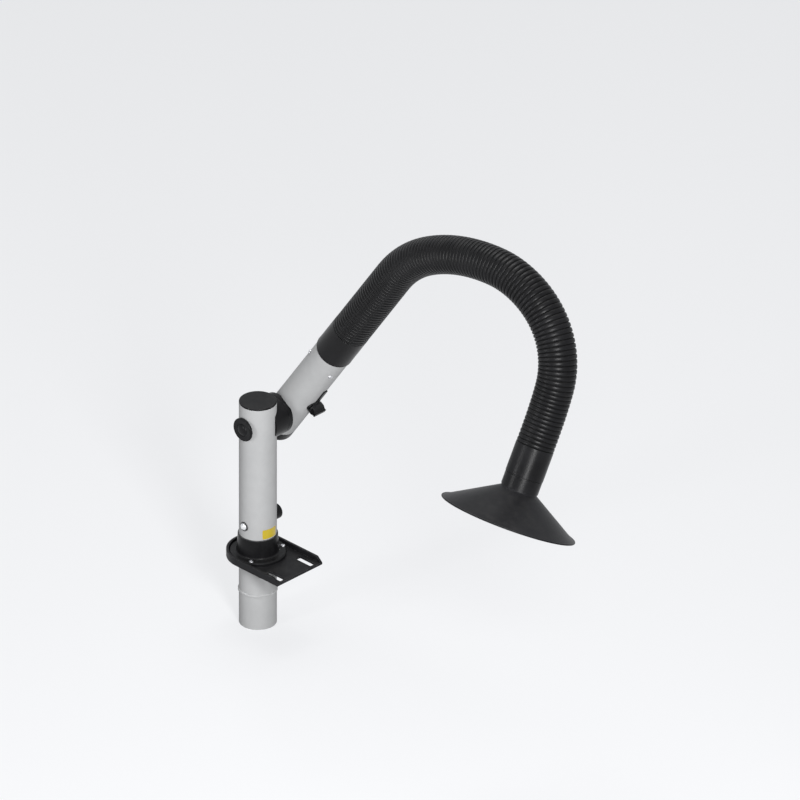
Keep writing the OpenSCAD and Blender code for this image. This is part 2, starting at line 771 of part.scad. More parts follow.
// Wing handle across the arm tube: a round foot that runs up into a flat wing
module damper_handle() {
    side = wing_w * wing_foot_share / 2;
    wide = wing_foot_r + over;
    low = wing_low - over;
    foot_top = wing_low + wing_foot_h;
    hole_end = wing_low + spindle_in_wing + face_gap;
    neck = spindle_r + wing_wall;
    neck_z = hole_end + wing_wall / 2;
    fade_z = neck_z + wing_fade;
    color("#1d1d1f") on_damper() difference() {
        intersection() {
            cylinder(r = wing_foot_r, h = wing_top + over);
            rotate([90, 0, 0]) linear_extrude(2 * wide, center = true) polygon([
                [-wide, wing_low], [wide, wing_low], [wide, foot_top], [neck, neck_z],
                [wing_t / 2, fade_z], [wing_t / 2, wing_top], [-wing_t / 2, wing_top],
                [-wing_t / 2, fade_z], [-neck, neck_z], [-wide, foot_top]
            ]);
            rotate([90, 0, 90]) linear_extrude(2 * wide, center = true) polygon([
                [-wide, wing_low - over], [wide, wing_low - over], [wide, foot_top], [side, foot_top],
                [wing_w / 2, wing_top + over], [-wing_w / 2, wing_top + over], [-side, foot_top],
                [-wide, foot_top]
            ]);
        }
        translate([0, 0, low]) cylinder(r = spindle_r + thread_fit, h = hole_end - low, $fn = 48);
    }
}

module root_spider() {
    r = bore_r - slide_fit;
    low = spider_at - spider_len / 2;
    high = low + spider_len;
    hub_low = spider_at - spider_hub_len / 2;
    // the legs stand halfway between the screws
    leg_turn = spider_screw_turn + 180 / spider_screw_count - 90;
    color("#2b2b2d") on_arm() difference() {
        union() {
            round_tube(r, spider_wall, low, high);
            translate([0, 0, hub_low]) cylinder(r = spider_hub_r, h = spider_hub_len);
            rotate([0, 0, leg_turn])
                spider_legs(spider_hub_r / 2, r - spider_wall / 2, low + leg_inset, high - leg_inset);
        }
        translate([0, 0, hub_low - over])
            cylinder(r = gooseneck_r + slide_fit, h = spider_hub_len + 2 * over);
        spider_screw_places() translate([0, 0, r - spider_wall - over])
            cylinder(d = small_screw_d + 2 * thread_fit, h = spider_wall + 2 * over, $fn = 32);
    }
}

module spider_screws() {
    low = bore_r - spider_wall - slide_fit;
    high = tube_r + small_head_h / 2;
    color("#d8d8da") on_arm() spider_screw_places() {
        translate([0, 0, low]) cylinder(d = small_screw_d, h = high - low, $fn = 32);
        translate([0, 0, tube_r + face_gap]) pan_head(small_head_d, small_head_h, $fn = 32);
    }
}

module cuff_profile(low, high) {
    polygon([
        [cuff_r, low], [cuff_out_r - cuff_round, low], [cuff_out_r, low + cuff_round],
        [cuff_out_r, high - cuff_round], [cuff_out_r - cuff_round, high], [cuff_r, high]
    ]);
}

module root_cuff_sleeve() {
    color("#1f1f21") on_arm() rotate_extrude() cuff_profile(cuff_start, rib_start - face_gap);
}

// The hose is one closed skin: its ribs from root to end, then its bore back again
module ribbed_hose() {
    stops = [for (i = [0 : bore_skip : station_count]) i * station];
    tail_1 = [[-root_tail, tail_r], [0, tail_r]];
    ribs = [for (i = [1 : station_count - 1]) [i * station, i % 2 == 1 ? crest_r : valley_r]];
    tail_2 = [[hose_len, tail_r], [hose_len + tail_len, tail_r]];
    outer = concat(tail_1, ribs, tail_2);
    bores = concat([hose_len + tail_len], [for (i = [len(stops) - 1 : -1 : 0]) stops[i]], [-root_tail]);
    inner = [for (s = bores) [s, hose_bore_r]];
    skin = concat(outer, inner);
    points = [for (q = skin) each ring(q[0], q[1], hose_sides)];
    color("#232325") polyhedron(points, ring_faces(len(skin), hose_sides, true), convexity = 10);
}

module gooseneck() {
    low = spider_at - spider_hub_len / 2 - rib_start;
    high = hose_len + spider_ring_at + spider_ring_len;
    count = ceil((high - low) / (gooseneck_ring_share * gooseneck_d));
    stops = [for (i = [0 : count]) low + (high - low) * i / count];
    points = [for (s = stops) each ring(s, gooseneck_r, hose_sides)];
    last = count * hose_sides;
    ends = [
        for (k = [1 : hose_sides - 2]) each [[0, k, k + 1], [last, last + k + 1, last + k]]
    ];
    faces = concat(ring_faces(count + 1, hose_sides, false), ends);
    color("#9c9ea1") polyhedron(points, faces, convexity = 10);
}

module end_cuff_sleeve() {
    color("#1f1f21") on_end() rotate_extrude() cuff_profile(face_gap, end_cuff);
}

module end_spider() {
    low = spider_ring_at;
    high = low + spider_ring_len;
    color("#2b2b2d") on_end() difference() {
        union() {
            round_tube(tube_r, tube_r - hose_bore_r, low, high);
            translate([0, 0, high - end_hub_len]) cylinder(r = spider_hub_r, h = end_hub_len);
            spider_legs(spider_hub_r / 2, (tube_r + hose_bore_r) / 2, low, high);
        }
        cylinder(r = gooseneck_r + slide_fit, h = high + over);
    }
}

// Sleeve in the end cuff that the hood turns on
module hood_sleeve() {
    inner = hood_sleeve_r - hood_sleeve_wall;
    foot = snap_at + snap_t + sleeve_past_snap;
    groove = hood_sleeve_r - snap_deep;
    color("#2b2b2d") on_end() rotate_extrude() polygon([
        [inner, hood_sleeve_at], [tube_r, hood_sleeve_at], [tube_r, end_cuff - ring_gap],
        [hood_sleeve_r, end_cuff - ring_gap], [hood_sleeve_r, snap_at], [groove, snap_at],
        [groove, snap_at + snap_t], [hood_sleeve_r, snap_at + snap_t],
        [hood_sleeve_r, foot], [inner, foot]
    ]);
}

module hood_retaining_ring() {
    color("#b0b2b5") on_end()
        round_tube(hood_sleeve_r + snap_reach, snap_reach + snap_deep - face_gap,
                   snap_at + face_gap, snap_at + snap_t - face_gap);
}

module hood_collar() {
    inner = hood_neck_r + hood_t + slide_fit;
    color("#242426") on_end()
        round_tube(inner + collar_ring_t, collar_ring_t, end_cuff + ring_gap, cone_at - collar_end_gap);
}

module hood_cone() {
    outer = hood_neck_r + hood_t;
    rim = [hood_r - bead_r, cone_at + hood_h - bead_r];
    color("#2a2a2c") on_end() rotate_extrude() union() {
        polygon([
            [hood_neck_r, neck_at], [outer, neck_at], [outer, cone_at], rim,
            [rim[0], rim[1] + sheet_drop], [hood_neck_r, cone_at + sheet_drop - hood_t * tan(hood_slope)]
        ]);
        translate(rim) circle(r = bead_r, $fn = 24);
    }
}

// Least gap of the hose to itself: from rib to rib inside the tightest bend, and end to end
crests = [for (i = [1 : 2 : station_count - 1]) ring(i * station, crest_r, hose_sides)];
rib_gap = min([
    for (i = [0 : len(crests) - 2], k = [0 : hose_sides - 1]) norm(crests[i + 1][k] - crests[i][k])
]);
far_apart = ceil(3 * hose_d / station);
turn_gap = min([
    for (i = [0 : 4 : station_count - far_apart], j = [i + far_apart : 4 : station_count])
        norm(route[j] - route[i]) - hose_d
]);
echo(ribs = rib_count, rib_gap = rib_gap, turn_gap = turn_gap, hose_length = hose_len);

mount_plate();
swivel_collar();
flange_screws();
swivel_bush();
lower_thrust_washer();
swivel_spigot();
outlet_tube();
outlet_screws();
post_tube();
post_cap();
clamp_bolt();
clamp_washer();
clamp_knob();
label_blank();
post_joint_drum();
friction_ring();
spacer_sleeve();
rod_saddle();
disc_spring();
friction_knob();
friction_rod();
rod_nut();
arm_joint_disc();
arm_tube();
arm_end_cap();
damper_base();
damper_spindle();
damper_blade();
damper_blade_screws();
damper_handle();
root_spider();
spider_screws();
root_cuff_sleeve();
ribbed_hose();
gooseneck();
end_cuff_sleeve();
end_spider();
hood_sleeve();
hood_retaining_ring();
hood_collar();
hood_cone();
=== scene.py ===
# %% [markdown]
# # A bench fume extraction arm
# A CAD model gives every piece its true size and place. This lesson dresses it: pieces with soft
# edges, rolled rims and ribs are modelled again in Blender on the same spot, and everything gets a
# material that is built from nodes. The first step loads the CAD model. Its solids arrive as
# objects that sit at the origin with their place in their mesh, in metres.

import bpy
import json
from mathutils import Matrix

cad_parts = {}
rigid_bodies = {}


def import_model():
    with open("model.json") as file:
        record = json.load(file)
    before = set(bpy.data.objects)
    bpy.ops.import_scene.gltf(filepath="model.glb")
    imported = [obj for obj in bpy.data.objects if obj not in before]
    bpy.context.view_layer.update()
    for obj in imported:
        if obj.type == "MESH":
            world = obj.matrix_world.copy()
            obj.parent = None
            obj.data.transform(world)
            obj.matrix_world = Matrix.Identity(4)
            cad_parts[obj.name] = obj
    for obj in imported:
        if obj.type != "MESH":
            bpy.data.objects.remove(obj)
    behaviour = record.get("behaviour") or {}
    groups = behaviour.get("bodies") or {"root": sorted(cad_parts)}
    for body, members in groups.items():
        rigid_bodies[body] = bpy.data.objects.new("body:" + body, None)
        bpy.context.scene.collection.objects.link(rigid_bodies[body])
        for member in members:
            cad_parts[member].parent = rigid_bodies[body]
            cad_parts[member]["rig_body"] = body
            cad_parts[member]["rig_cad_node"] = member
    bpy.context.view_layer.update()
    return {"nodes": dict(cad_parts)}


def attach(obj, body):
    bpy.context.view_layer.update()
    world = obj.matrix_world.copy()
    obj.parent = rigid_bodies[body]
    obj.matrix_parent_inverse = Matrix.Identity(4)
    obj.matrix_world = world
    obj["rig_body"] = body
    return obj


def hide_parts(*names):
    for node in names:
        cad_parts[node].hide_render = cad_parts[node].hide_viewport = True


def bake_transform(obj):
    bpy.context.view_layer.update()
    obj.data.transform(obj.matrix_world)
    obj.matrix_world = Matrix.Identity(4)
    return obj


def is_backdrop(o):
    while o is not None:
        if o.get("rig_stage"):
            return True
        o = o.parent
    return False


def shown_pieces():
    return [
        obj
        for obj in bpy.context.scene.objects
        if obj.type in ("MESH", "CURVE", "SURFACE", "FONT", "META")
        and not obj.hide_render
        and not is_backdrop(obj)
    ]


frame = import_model()

# %% [markdown]
# A drawing comes before any modelling. The real arm is cut from 50 mm tube, so most sizes follow
# from the tube's radius. They are kept in millimetres, as a workshop would write them, and one
# factor turns them into metres.

# %% Sizes from the drawing
import json
import math

import bpy
from mathutils import Matrix, Vector

MM = 0.001
TUBE_R = 25.0
BORE_R = 23.0
ELBOW_Z = 200.5
ARM_Y = 60.0
ARM_RISE = 55.0
DAMPER_AT = 41.0
CLAMP_Z = 52.7
RIB_START = 199.0
SEAT_GAP = 0.05
print(f"tube {2 * TUBE_R:.0f} mm, elbow {ELBOW_Z} mm above the bench")

# %% [markdown]
# The camera stands where the photographer's did: 45 degrees round, 30 degrees above the bench, and
# parallel, because the plate's opposite edges stay parallel in the picture. An orthographic camera
# has no distance, only a width of view, so its scale carries the picture's size.

# %% Camera
VIEW_WIDTH = 1.0499
VIEW_CENTRE = Vector((0.0602, 0.2036, 0.1756))
VIEW_DISTANCE = 2.4
azimuth, elevation = math.radians(45), math.radians(30)
towards_camera = Vector((
    math.sin(azimuth) * math.cos(elevation),
    -math.cos(azimuth) * math.cos(elevation),
    math.sin(elevation),
))


def aim(location, target):
    """Turn that points an object's -Z from a place to a target."""
    return (target - location).to_track_quat("-Z", "Y").to_euler()


camera_place = VIEW_CENTRE + VIEW_DISTANCE * towards_camera
bpy.ops.object.camera_add(location=camera_place, rotation=aim(camera_place, VIEW_CENTRE))
camera = bpy.context.object
camera.name = "photo_camera"
camera.data.type = "ORTHO"
camera.data.ortho_scale = VIEW_WIDTH
bpy.context.scene.camera = camera
bpy.context.scene.view_settings.view_transform = "Standard"
print("camera at", tuple(round(x, 3) for x in camera.location))

# %% [markdown]
# The picture shows two soft streaks along each tube: a bright one just right of the middle and a
# quieter one on the left, with the right edge dark. So the key lamp stands a little to the right
# of the camera and a tall, narrow fill lamp far to its left. A broad top lamp lights the floor.

# %% Lamps
camera_right = Vector((math.cos(azimuth), math.sin(azimuth), 0))
camera_up = towards_camera.cross(camera_right)
LAMPS = (  # name, right, up, towards the camera (metres), width, height, watts
    ("key_lamp", 0.35, -0.2, 2.2, 0.4, 0.8, 42),
    ("fill_lamp", -1.75, -0.2, 1.4, 0.3, 1.4, 14),
    ("top_lamp", -0.1, 2.1, 0.7, 1.3, 0.9, 24),
)
for name, right, up, out, width, height, watts in LAMPS:
    lamp_place = VIEW_CENTRE + right * camera_right + up * camera_up + out * towards_camera
    bpy.ops.object.light_add(
        type="AREA", location=lamp_place, rotation=aim(lamp_place, VIEW_CENTRE)
    )
    lamp = bpy.context.object
    lamp.name = name
    lamp.data.shape = "RECTANGLE"
    lamp.data.size, lamp.data.size_y = width, height
    lamp.data.energy = watts
    print(f"{name}: {watts} W at {tuple(round(x, 2) for x in lamp_place)}")

# %% [markdown]
# The sky has to look pale, as white studio paper does, and yet give the arm little light. Light
# Path tells the two apart: what the camera or a mirrored ray meets is bright, and the light that
# falls on the arm is dim. A bright sky without it would turn black plastic grey.

# %% Sky
GROUND_SHOWN, SKY_LIGHT = 0.72, 0.08


def as_background(tree, plain, shown):
    """A strength: plain for light that falls on the object, shown for what is seen or mirrored."""
    path = tree.nodes.new("ShaderNodeLightPath")
    seen = path.outputs["Is Camera Ray"]
    for mirrored in ("Is Glossy Ray", "Is Transmission Ray"):
        both = tree.nodes.new("ShaderNodeMath")
        both.operation, both.use_clamp = "ADD", True
        tree.links.new(seen, both.inputs[0])
        tree.links.new(path.outputs[mirrored], both.inputs[1])
        seen = both.outputs[0]
    strength = tree.nodes.new("ShaderNodeMapRange")
    strength.inputs["To Min"].default_value = plain
    strength.inputs["To Max"].default_value = shown
    tree.links.new(seen, strength.inputs["Value"])
    return strength.outputs["Result"]


world = bpy.data.worlds.new("soft_sky")
bpy.context.scene.world = world
world.use_nodes = True
sky = world.node_tree.nodes["Background"]
sky.inputs["Color"].default_value = (0.95, 0.97, 1.0, 1)
sky_strength = as_background(world.node_tree, SKY_LIGHT, GROUND_SHOWN)
world.node_tree.links.new(sky_strength, sky.inputs["Strength"])

# %% [markdown]
# The arm hangs through the edge of a bench, so the floor lies just under the outlet tube's end. It
# is one wide sheet that catches the arm's shadow. White paint would throw so much light up that
# the tubes turned flat, so the paint itself is a mid grey, and Light Path adds a glow that only the
# camera and mirrored rays see. The picture gets its pale ground, and metal still mirrors it.

# %% Pale floor
FLOOR_Z, FLOOR_SIZE = -0.1002, 60
bpy.ops.mesh.primitive_plane_add(size=FLOOR_SIZE, location=(0, 0, FLOOR_Z))
floor = bpy.context.object
floor.name = "pale_floor"
floor_paint = bpy.data.materials.new("floor_paint")
floor_paint.use_nodes = True
floor_shader = floor_paint.node_tree.nodes["Principled BSDF"]
floor_shader.inputs["Roughness"].default_value = 0.9
floor_shader.inputs["Specular IOR Level"].default_value = 0.1
floor_shader.inputs["Base Color"].default_value = (0.22, 0.22, 0.223, 1)
floor_shader.inputs["Emission Color"].default_value = (0.97, 0.98, 1.0, 1)
glow = as_background(floor_paint.node_tree, 0.0, GROUND_SHOWN)
floor_paint.node_tree.links.new(glow, floor_shader.inputs["Emission Strength"])
floor.data.materials.append(floor_paint)
floor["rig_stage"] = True

# %% [markdown]
# Four effects come back in almost every finish: an uneven tone, a fine skin, rubbed edges and
# dust that settles on what faces up. Each is built once as a node group with named sockets and
# then placed in the materials with its own values. A group gives out only masks and heights. The
# shader stays in the material, where it can be read by whoever opens the file.

# %% Helper for node groups
def new_group(name, inputs, outputs):
    """A shader node group with these float or vector sockets, and its input and output nodes."""
    tree = bpy.data.node_groups.new(name, "ShaderNodeTree")
    for socket, value in inputs:
        kind = "NodeSocketVector" if value is None else "NodeSocketFloat"
        made = tree.interface.new_socket(name=socket, in_out="INPUT", socket_type=kind)
        if value is not None:
            made.default_value = value
    for socket in outputs:
        tree.interface.new_socket(name=socket, in_out="OUTPUT", socket_type="NodeSocketFloat")
    return tree, tree.nodes.new("NodeGroupInput"), tree.nodes.new("NodeGroupOutput")


def feed(tree, socket, value):
    """Links a socket to an input, or sets the input to a number or a colour."""
    if isinstance(value, bpy.types.NodeSocket):
        tree.links.new(value, socket)
    else:
        socket.default_value = value


def math_node(tree, operation, *values, clamp=False):
    """A Math node whose inputs are sockets or numbers; returns its output socket."""
    node = tree.nodes.new("ShaderNodeMath")
    node.operation, node.use_clamp = operation, clamp
    for socket, value in zip(node.inputs, values):
        feed(tree, socket, value)
    return node.outputs[0]


def noise_node(tree, vector, scale, detail=2.0, roughness=0.5):
    """A Noise Texture; its scale is a socket or a number of features per metre."""
    node = tree.nodes.new("ShaderNodeTexNoise")
    tree.links.new(vector, node.inputs["Vector"])
    feed(tree, node.inputs["Scale"], scale)
    node.inputs["Detail"].default_value = detail
    node.inputs["Roughness"].default_value = roughness
    return node.outputs["Fac"]


def range_node(tree, value, low, high, to_low=0.0, to_high=1.0, smooth=True):
    """A Map Range node; returns its result."""
    node = tree.nodes.new("ShaderNodeMapRange")
    node.interpolation_type = "SMOOTHSTEP" if smooth else "LINEAR"
    tree.links.new(value, node.inputs["Value"])
    limits = {"From Min": low, "From Max": high, "To Min": to_low, "To Max": to_high}
    for socket, number in limits.items():
        node.inputs[socket].default_value = number
    return node.outputs["Result"]


# %% [markdown]
# No sprayed, moulded or anodised skin has one even tone. Two sizes of noise are mixed, one as wide
# as a hand and one as wide as a fingertip, and the result runs from 0 to 1 with its middle at 0.5.

# %% Group: uneven tone
tone_group, g_in, g_out = new_group("uneven_tone", [("Vector", None), ("Spread", 14.0)], ["Tone"])
wide = noise_node(tone_group, g_in.outputs["Vector"], g_in.outputs["Spread"], detail=3)
fine_scale = math_node(tone_group, "MULTIPLY", g_in.outputs["Spread"], 9.0)
fine = noise_node(tone_group, g_in.outputs["Vector"], fine_scale, detail=4, roughness=0.6)
wide_part = math_node(tone_group, "MULTIPLY", wide, 0.65)
mixed_tone = math_node(tone_group, "MULTIPLY_ADD", fine, 0.35, wide_part)
tone_group.links.new(range_node(tone_group, mixed_tone, 0.3, 0.7), g_out.inputs["Tone"])

# %% [markdown]
# A moulding copies the etched skin of its tool, and powder paint flows into a fine orange peel.
# Both are small rounded cells. A smooth Voronoi pattern gives the cells, and a little noise keeps
# them from looking like a grid. The group puts out a height, which each material turns into a
# bump of its own depth.

# %% Group: pebbled skin
skin_group, g_in, g_out = new_group(
    "pebbled_skin", [("Vector", None), ("Cells", 900.0)], ["Height"]
)
cells = skin_group.nodes.new("ShaderNodeTexVoronoi")
cells.feature = "SMOOTH_F1"
skin_group.links.new(g_in.outputs["Vector"], cells.inputs["Vector"])
skin_group.links.new(g_in.outputs["Cells"], cells.inputs["Scale"])
skin_noise = noise_node(skin_group, g_in.outputs["Vector"], g_in.outputs["Cells"])
skin_height = math_node(skin_group, "MULTIPLY_ADD", cells.outputs["Distance"], -0.7, skin_noise)
skin_group.links.new(skin_height, g_out.inputs["Height"])

# %% [markdown]
# Hands and tools rub the edges first. A Bevel node rounds the normal near an edge, so where the
# rounded normal leaves the true one there is an edge. Noise breaks the line up, because wear is
# never even. Sculpted dirt masks could be painted by hand, but this one follows any piece.

# %% Group: rubbed edges
edge_group, g_in, g_out = new_group(
    "rubbed_edges", [("Vector", None), ("Reach", 0.0008)], ["Mask"]
)
rounded = edge_group.nodes.new("ShaderNodeBevel")
rounded.samples = 6
edge_group.links.new(g_in.outputs["Reach"], rounded.inputs["Radius"])
true_normal = edge_group.nodes.new("ShaderNodeNewGeometry")
likeness = edge_group.nodes.new("ShaderNodeVectorMath")
likeness.operation = "DOT_PRODUCT"
edge_group.links.new(rounded.outputs["Normal"], likeness.inputs[0])
edge_group.links.new(true_normal.outputs["Normal"], likeness.inputs[1])
edge_line = range_node(edge_group, likeness.outputs["Value"], 0.997, 0.93)
patch = noise_node(edge_group, g_in.outputs["Vector"], 120.0, detail=5, roughness=0.65)
patch_mask = range_node(edge_group, patch, 0.42, 0.66)
edge_group.links.new(math_node(edge_group, "MULTIPLY", edge_line, patch_mask), g_out.inputs["Mask"])

# %% [markdown]
# Dust lies where a surface faces up, thin and in patches. The normal's upward part gives the
# place, and noise at two sizes gives the patches. The mask stays faint, for an arm in daily use is
# wiped now and then.

# %% Group: settled dust
dust_group, g_in, g_out = new_group("settled_dust", [("Vector", None), ("Amount", 0.3)], ["Mask"])
facing = dust_group.nodes.new("ShaderNodeNewGeometry")
parts = dust_group.nodes.new("ShaderNodeSeparateXYZ")
dust_group.links.new(facing.outputs["Normal"], parts.inputs[0])
upward = range_node(dust_group, parts.outputs["Z"], 0.25, 1.0)
drift = noise_node(dust_group, g_in.outputs["Vector"], 55.0, detail=6, roughness=0.7)
drift_mask = range_node(dust_group, drift, 0.35, 0.75)
specks = noise_node(dust_group, g_in.outputs["Vector"], 2600.0, detail=1)
speck_mask = range_node(dust_group, specks, 0.6, 0.74)
lying = math_node(dust_group, "MULTIPLY", upward, drift_mask)
with_specks = math_node(dust_group, "MULTIPLY_ADD", speck_mask, 0.35, lying)
upward_only = math_node(dust_group, "MULTIPLY", with_specks, upward)
thin = math_node(dust_group, "MULTIPLY", upward_only, g_in.outputs["Amount"], clamp=True)
dust_group.links.new(thin, g_out.inputs["Mask"])
print("node groups:", ", ".join(sorted(tree.name for tree in bpy.data.node_groups)))

# %% [markdown]
# One function lays out the part that all finishes share: a colour that wanders between two close
# tones, dust and rubbed edges over it, a roughness that follows them, and a skin for the bump.
# What makes a finish its own, such as drawn lines or painted shade in a hose groove, is added
# afterwards to the same material. Numbers that are the same all over go straight on the shader. The
# blacks mirror little, because a mirrored white ground would turn them grey.

# %% Helper for finishes
DUST_COLOUR = (0.36, 0.35, 0.33, 1)
DUST_ROUGHER, WEAR_SMOOTHER = 0.3, -0.12
BLACK_SPECULAR = 0.13


def group_node(tree, group, vector, **values):
    """Places a node group, feeds its vector and sets its other inputs."""
    node = tree.nodes.new("ShaderNodeGroup")
    node.node_tree = group
    tree.links.new(vector, node.inputs["Vector"])
    for socket, value in values.items():
        node.inputs[socket].default_value = value
    return node.outputs[0]


def mix_colour(tree, factor, first, second):
    """A Mix node for colours; each input is a socket or a colour."""
    node = tree.nodes.new("ShaderNodeMix")
    node.data_type = "RGBA"
    tree.links.new(factor, node.inputs["Factor"])
    feed(tree, node.inputs[6], first)
    feed(tree, node.inputs[7], second)
    return node.outputs[2]


def finish(name, tones, rough, skin, dust, metallic=0.0, worn=None, spread=14.0,
           reach=0.0008, turn=(0, 0, 0), attribute=None, **shader_values):
    """A material with two close tones, a roughness range, a skin, worn edges and dust."""
    material = bpy.data.materials.new(name)
    material.use_nodes = True
    tree = material.node_tree
    shader = tree.nodes["Principled BSDF"]
    if attribute:
        source = tree.nodes.new("ShaderNodeAttribute")
        source.attribute_name = attribute
        start = source.outputs["Vector"]
    else:
        start = tree.nodes.new("ShaderNodeTexCoord").outputs["Object"]
    mapping = tree.nodes.new("ShaderNodeMapping")
    mapping.inputs["Rotation"].default_value = [math.radians(angle) for angle in turn]
    tree.links.new(start, mapping.inputs["Vector"])
    vector = mapping.outputs["Vector"]

    tone = group_node(tree, tone_group, vector, Spread=spread)
    colour = mix_colour(tree, tone, (*tones[0], 1), (*tones[1], 1))
    gloss = range_node(tree, tone, 0.0, 1.0, rough[0], rough[1], smooth=False)
    if worn:
        rubbed = group_node(tree, edge_group, vector, Reach=reach)
        colour = mix_colour(tree, rubbed, colour, (*worn, 1))
        gloss = math_node(tree, "MULTIPLY_ADD", rubbed, WEAR_SMOOTHER, gloss)
    dusty = group_node(tree, dust_group, vector, Amount=dust)
    colour = mix_colour(tree, dusty, colour, DUST_COLOUR)
    gloss = math_node(tree, "MULTIPLY_ADD", dusty, DUST_ROUGHER, gloss)
    tree.links.new(colour, shader.inputs["Base Color"])
    tree.links.new(gloss, shader.inputs["Roughness"])
    cells_per_metre, depth = skin
    bump = tree.nodes.new("ShaderNodeBump")
    bump.inputs["Distance"].default_value = depth
    pebbles = group_node(tree, skin_group, vector, Cells=cells_per_metre)
    tree.links.new(pebbles, bump.inputs["Height"])
    tree.links.new(bump.outputs["Normal"], shader.inputs["Normal"])
    shader.inputs["Metallic"].default_value = metallic
    for socket, value in shader_values.items():
        shader.inputs[socket.replace("_", " ")].default_value = value
    print(f"finish {name}: roughness {rough[0]} to {rough[1]}")
    return material


# %% [markdown]
# Drawn tube has faint lines along its length, left by the die, and anodising keeps them. A noise
# that is stretched along the tube gives them. The pattern is set out along Z, so a tube that leans
# turns it with its Mapping node. The same lines serve the post, the arm tube and the inner tubes.
# The outer tubes are set almost like matt paint, since metal would mirror the ground and go pale.

# %% Drawn aluminium
def add_lines(material, across, along, depth, rough_by):
    """Fine lines along the pattern's Z: a bump under the skin, and a little roughness."""
    tree = material.node_tree
    shader = tree.nodes["Principled BSDF"]
    stretch = tree.nodes.new("ShaderNodeMapping")
    stretch.inputs["Scale"].default_value = (across, across, along)
    tree.links.new(tree.nodes["Mapping"].outputs["Vector"], stretch.inputs["Vector"])
    lines = noise_node(tree, stretch.outputs["Vector"], 1.0, detail=5, roughness=0.7)
    bump = tree.nodes.new("ShaderNodeBump")
    bump.inputs["Distance"].default_value = depth
    tree.links.new(lines, bump.inputs["Height"])
    under = shader.inputs["Normal"].links[0].from_socket
    tree.links.new(under, bump.inputs["Normal"])
    tree.links.new(bump.outputs["Normal"], shader.inputs["Normal"])
    smoother = shader.inputs["Roughness"].links[0].from_socket
    gloss = math_node(tree, "MULTIPLY_ADD", lines, rough_by, smoother)
    tree.links.new(gloss, shader.inputs["Roughness"])


ALUMINIUM = dict(
    tones=((0.51, 0.515, 0.52), (0.57, 0.575, 0.58)), rough=(0.42, 0.50), metallic=0.05,
    skin=(2400.0, 0.000006), worn=(0.72, 0.72, 0.73), dust=0.10, spread=9.0, reach=0.0005,
    Specular_IOR_Level=0.02,
)
post_aluminium = finish("anodised_post", **ALUMINIUM)
arm_aluminium = finish("anodised_arm", turn=(0, ARM_RISE - 90, 0), **ALUMINIUM)
inner_aluminium = finish(
    "plain_aluminium", tones=((0.44, 0.44, 0.45), (0.52, 0.52, 0.53)), rough=(0.3, 0.45),
    metallic=0.9, skin=(1500.0, 0.00001), dust=0.08,
)
for tube_metal in (post_aluminium, arm_aluminium, inner_aluminium):
    add_lines(tube_metal, across=1500.0, along=12.0, depth=0.000012, rough_by=0.10)

# %% [markdown]
# The plate is steel with a black powder coat: a close orange peel, paint rubbed thin on the edges
# and dust on the flat. The hood is spun sheet under satin black paint, which fills the faint rings
# that spinning leaves and lies even.

# %% Powder coat and hood paint
plate_powder = finish(
    "plate_powder", tones=((0.009, 0.009, 0.010), (0.015, 0.015, 0.017)), rough=(0.40, 0.50),
    skin=(1100.0, 0.00007), worn=(0.09, 0.09, 0.095), dust=0.05, spread=22.0,
    Specular_IOR_Level=BLACK_SPECULAR,
)
hood_black = finish(
    "hood_black", tones=((0.009, 0.009, 0.010), (0.014, 0.014, 0.0155)), rough=(0.36, 0.45),
    skin=(800.0, 0.00004), worn=(0.05, 0.05, 0.054), dust=0.025, spread=12.0,
    Specular_IOR_Level=BLACK_SPECULAR,
)

# %% [markdown]
# Collars, knobs and caps are moulded black plastic with an etched skin, a little glossier where
# fingers go. The bush and the spiders inside are a plain dark grey moulding. The joint's liner is
# brown friction fibre, which is matt and coarse.

# %% Plastics and liner
black_plastic = finish(
    "black_plastic", tones=((0.006, 0.006, 0.0065), (0.010, 0.010, 0.011)), rough=(0.27, 0.36),
    skin=(1400.0, 0.00005), worn=(0.06, 0.06, 0.063), dust=0.03, spread=26.0,
    Specular_IOR_Level=BLACK_SPECULAR,
)
dark_plastic = finish(
    "dark_plastic", tones=((0.035, 0.035, 0.037), (0.05, 0.05, 0.052)), rough=(0.45, 0.6),
    skin=(1200.0, 0.00004), worn=(0.11, 0.11, 0.11), dust=0.1, spread=26.0,
)
friction_liner = finish(
    "friction_liner", tones=((0.12, 0.085, 0.06), (0.2, 0.15, 0.11)), rough=(0.75, 0.9),
    skin=(700.0, 0.00012), dust=0.1, spread=160.0,
)

# %% [markdown]
# The hose bends, so its pattern must not be read from where it lies. Each hose piece carries an
# attribute with the place that each point had while the hose was straight, and its material reads
# that. A second attribute is 1 on a rib's crown and 0 in its groove: the groove gets painted shade,
# a darker colour, and stays dull, and the crown is polished by handling.

# %% Hose polymer
hose_black = finish(
    "hose_black", tones=((0.005, 0.005, 0.0055), (0.009, 0.009, 0.010)), rough=(0.30, 0.40),
    skin=(1000.0, 0.00004), dust=0.04, spread=18.0, attribute="straight",
    Specular_IOR_Level=BLACK_SPECULAR,
)
hose_tree = hose_black.node_tree
hose_shader = hose_tree.nodes["Principled BSDF"]
crown = hose_tree.nodes.new("ShaderNodeAttribute")
crown.attribute_name = "crown"
# The groove mask paints shade into the grooves by darkening their colour, and also makes them
# duller.
groove = range_node(hose_tree, crown.outputs["Fac"], 0.75, 0.1)
groove_painted_shade = math_node(hose_tree, "MULTIPLY", groove, 0.8)
old_colour = hose_shader.inputs["Base Color"].links[0].from_socket
groove_shaded_colour = mix_colour(hose_tree, groove_painted_shade, old_colour, (0.003, 0.003, 0.003, 1))
hose_tree.links.new(groove_shaded_colour, hose_shader.inputs["Base Color"])
old_gloss = hose_shader.inputs["Roughness"].links[0].from_socket
groove_gloss = math_node(hose_tree, "MULTIPLY_ADD", groove, 0.28, old_gloss)
hose_tree.links.new(groove_gloss, hose_shader.inputs["Roughness"])

